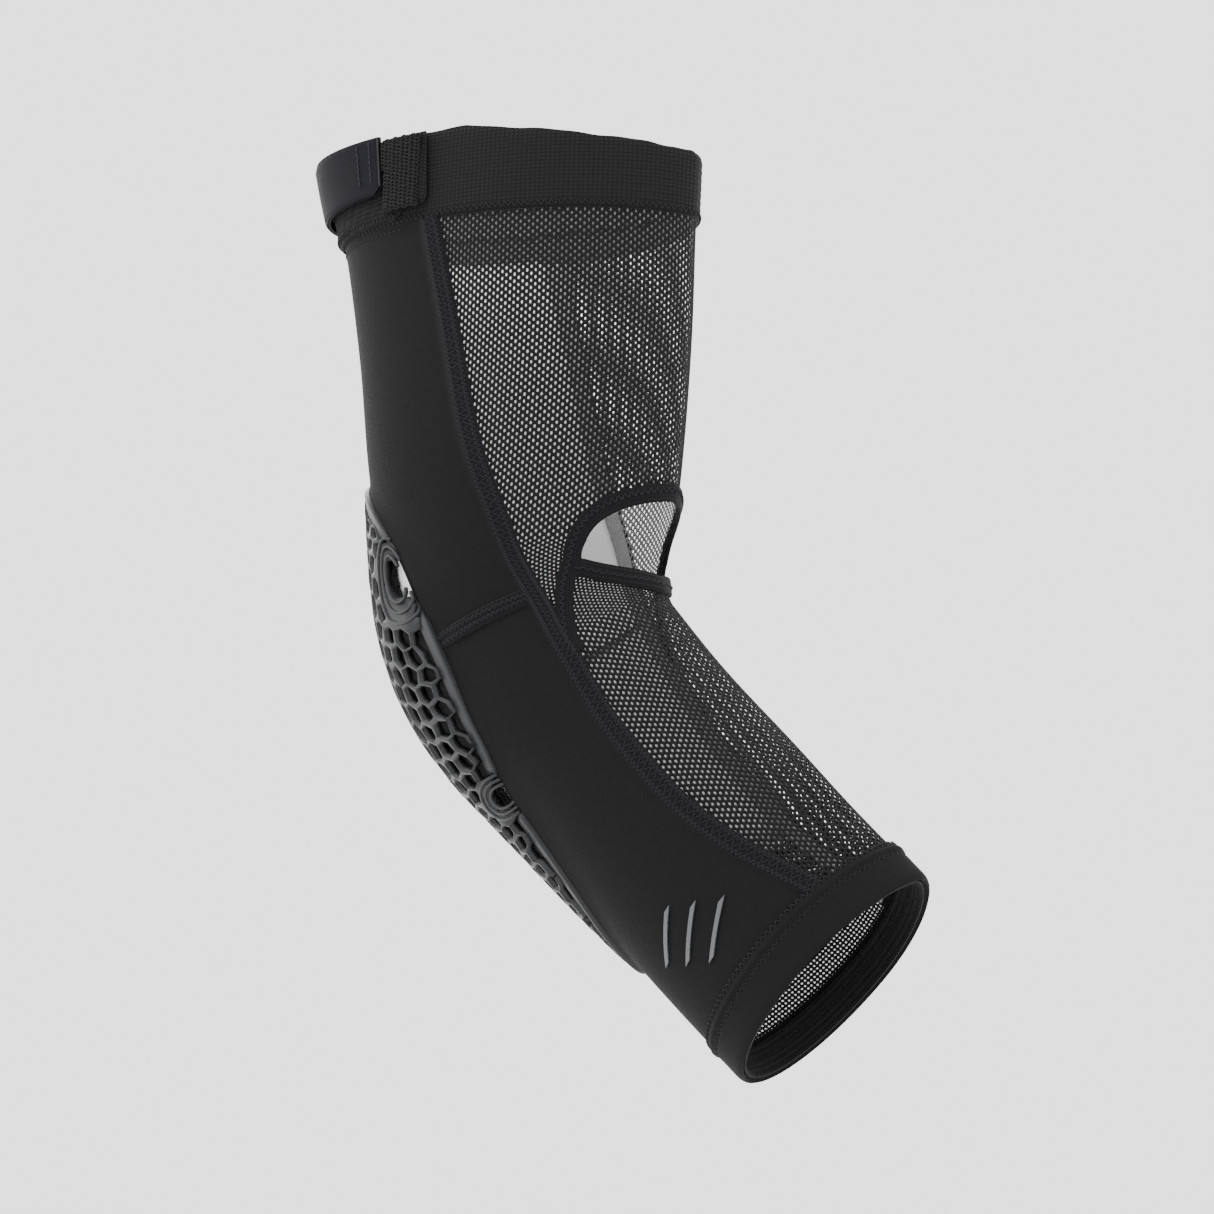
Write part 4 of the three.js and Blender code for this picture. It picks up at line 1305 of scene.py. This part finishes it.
WEBBING = pebble_finish("strap_webbing_weave", (0.003, 0.003, 0.0032), (0.014, 0.014, 0.0147), 0.95, 1.25)
TAB = laminate_finish("tab_laminate", (0.003, 0.003, 0.0042), (0.006, 0.006, 0.0076))
LOOP = pebble_finish("loop_pile", (0.002, 0.002, 0.0022), (0.009, 0.009, 0.0096), 0.5, 1.6, 0.95)
HOOK = pebble_finish("hook_strip", (0.003, 0.003, 0.0033), (0.010, 0.010, 0.0106), 0.65, 0.65, 0.6)

dress(loop_patch, LOOP, "loop", "loop_patch")
dress(webbing, WEBBING, "woven_elastic", "strap_webbing")
dress(weave, WEBBING, "woven_elastic")
dress(tab, TAB, "strap_fabric", "strap_tab")
dress(hook_patch, HOOK, "hook", "strap_hook_patch")
patch_rows = [
    stitched_along("row", np.full(90, -144.6), np.linspace(-224, -112, 90), 2.0, 1.6, 3.75),
    stitched_along("row", np.linspace(-167, -146, 30), np.full(30, -112.2), 2.0, 1.6, 3.75),
]
patch_stitches = joined("loop_patch_stitches", patch_rows)
dress(patch_stitches, THREAD, "seam_thread")
for piece in (loop_patch, webbing, weave, patch_stitches):
    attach(piece, "upper_sleeve")


def dashes(name, s, angle, height, pitch, radius=0.3):
    """A row of running stitches: short threads that rise in the middle and dive at both ends."""
    s, angle = evenly_spaced(s, angle, pitch / 8)
    count = len(s) // 8
    pieces = []
    for k in range(count):
        part = slice(k * 8, k * 8 + 7)
        arc = 0.22 * np.sin(np.linspace(0, np.pi, 7))
        pieces.append(thread(name, s[part], angle[part], np.broadcast_to(height, 7) + arc - 0.08, radius))
    return joined(name, pieces)


tab_rows = []
for inset in (3.0, 7.5):
    angle = -115.9 - inset / 0.86
    tab_rows.append(dashes("row", np.linspace(-170.8, -154.6, 30), np.full(30, angle), TAB_TOP + 0.05, 2.1,
                           0.26))
tab_stitches = joined("strap_tab_stitches", tab_rows)
dress(tab_stitches, LIGHT_THREAD, "seam_thread")
tab_edge = thread("strap_tab_edge", np.linspace(-171.6, -154.5, 24), np.full(24, -116.1), TAB_TOP - 0.25,
                  0.32)
dress(tab_edge, LIGHT_THREAD, "seam_thread")
for piece in (tab, hook_patch, tab_stitches, tab_edge):
    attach(piece, "strap")
print("top of the sleeve, triangles:", triangles(elastic), triangles(loop_patch), triangles(weave),
      triangles(tab))

# %% [markdown]
# ## The bottom: cuff, grip tape and bars
#
# The forearm edge is a folded hem: the knit turns over itself, so it is thicker, with a rounded rim, a ridge
# where the fold ends and a zigzag that holds it. A ribbed elastic tape lines it. Three slanted reflective
# bars are heat-pressed beside the hem.

# %% Cuff
cuff_rows = np.linspace(CUFF_EDGE, CUFF_RIM, 30)
cuff_s, cuff_angle = round_the_arm(cuff_rows, columns=160)
from_rim = np.clip((CUFF_RIM - cuff_s) / 3, 0, 1)
hem_ridge = 0.75 * np.exp(-(((cuff_s - 151.3) / 1.0) ** 2))
groove = -0.30 * np.exp(-(((cuff_s - 153.3) / 0.7) ** 2))
roll_out = np.sqrt(1 - (1 - from_rim) ** 2)
puckers = 0.12 * np.sin(np.radians(cuff_angle) * 52) * np.exp(-(((cuff_s - 154) / 2.5) ** 2))
cuff_face = 1.25 + 1.15 * roll_out + hem_ridge + groove + puckers
cuff = slab("forearm_cuff", cuff_s, cuff_angle, 1.0 * (1 - roll_out), cuff_face, ring=True)
tape_s, tape_angle = round_the_arm(np.linspace(153, CUFF_RIM - 0.6, 22), columns=150)
tape_ribs = -1.2 + 0.22 * np.sin(tape_s * 2 * np.pi / 1.8)
tape = slab("cuff_grip_band", tape_s, tape_angle, tape_ribs, -0.2, ring=True)
cuff_around = np.linspace(-180, 180, 361)
cuff_stitches = joined("cuff_stitches", [
    stitched_along("row", np.full(361, 153.3), cuff_around, 2.0, 1.3, 2.15, 0.26),
    stitched_along("row", np.full(361, 149.0), cuff_around, 2.2, 1.6, 2.35, 0.28),
])


def reflective_finish(name):
    """Heat-pressed reflective film: silver grey beads under a satin face, a little crazed."""
    finish = Finish(name, 0.42, 0.0, 0.4)
    cloth = finish.scaled("UV", 1000, 1000)
    crazed = finish.noise(cloth, 0.8, 6)
    finish.paint(finish.colours(crazed, (0.035, 0.036, 0.040), (0.060, 0.061, 0.066)))
    finish.emboss(finish.noise(cloth, 6, 2), 0.00005, 0.5)
    return finish.material


REFLECTIVE = reflective_finish("reflective_film")
for number in (1, 2, 3):
    node = f"reflective_bar_{number}"
    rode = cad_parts[node]
    rode.data.materials.clear()
    rode.data.materials.append(REFLECTIVE)
dress(cuff, CUFF_KNIT, "knit", "forearm_cuff")
dress(tape, RIBBED, "woven_elastic", "cuff_grip_band")
dress(cuff_stitches, THREAD, "seam_thread")
for piece in (cuff, tape, cuff_stitches):
    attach(piece, "forearm_sleeve")
print("cuff triangles:", triangles(cuff), triangles(tape), triangles(cuff_stitches))

# %% [markdown]
# ## The stitch line under the elastic
#
# A single row of running stitches holds the elastic to the knit at the back, just under its edge.

# %% Panel stitches
line_angle = np.linspace(-250, -112, 200)
panel_stitches = joined("band_stitches", [
    dashes("row", np.full(200, BAND_EDGE + 1.6), line_angle, KNIT_THICKNESS + 0.05, 2.4, 0.24),
    stitched_along("row", np.full(361, BAND_EDGE - 1.6), np.linspace(-180, 180, 361), 2.2, 1.5, 2.3, 0.26),
])
dress(panel_stitches, THREAD, "seam_thread")
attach(panel_stitches, "upper_sleeve")
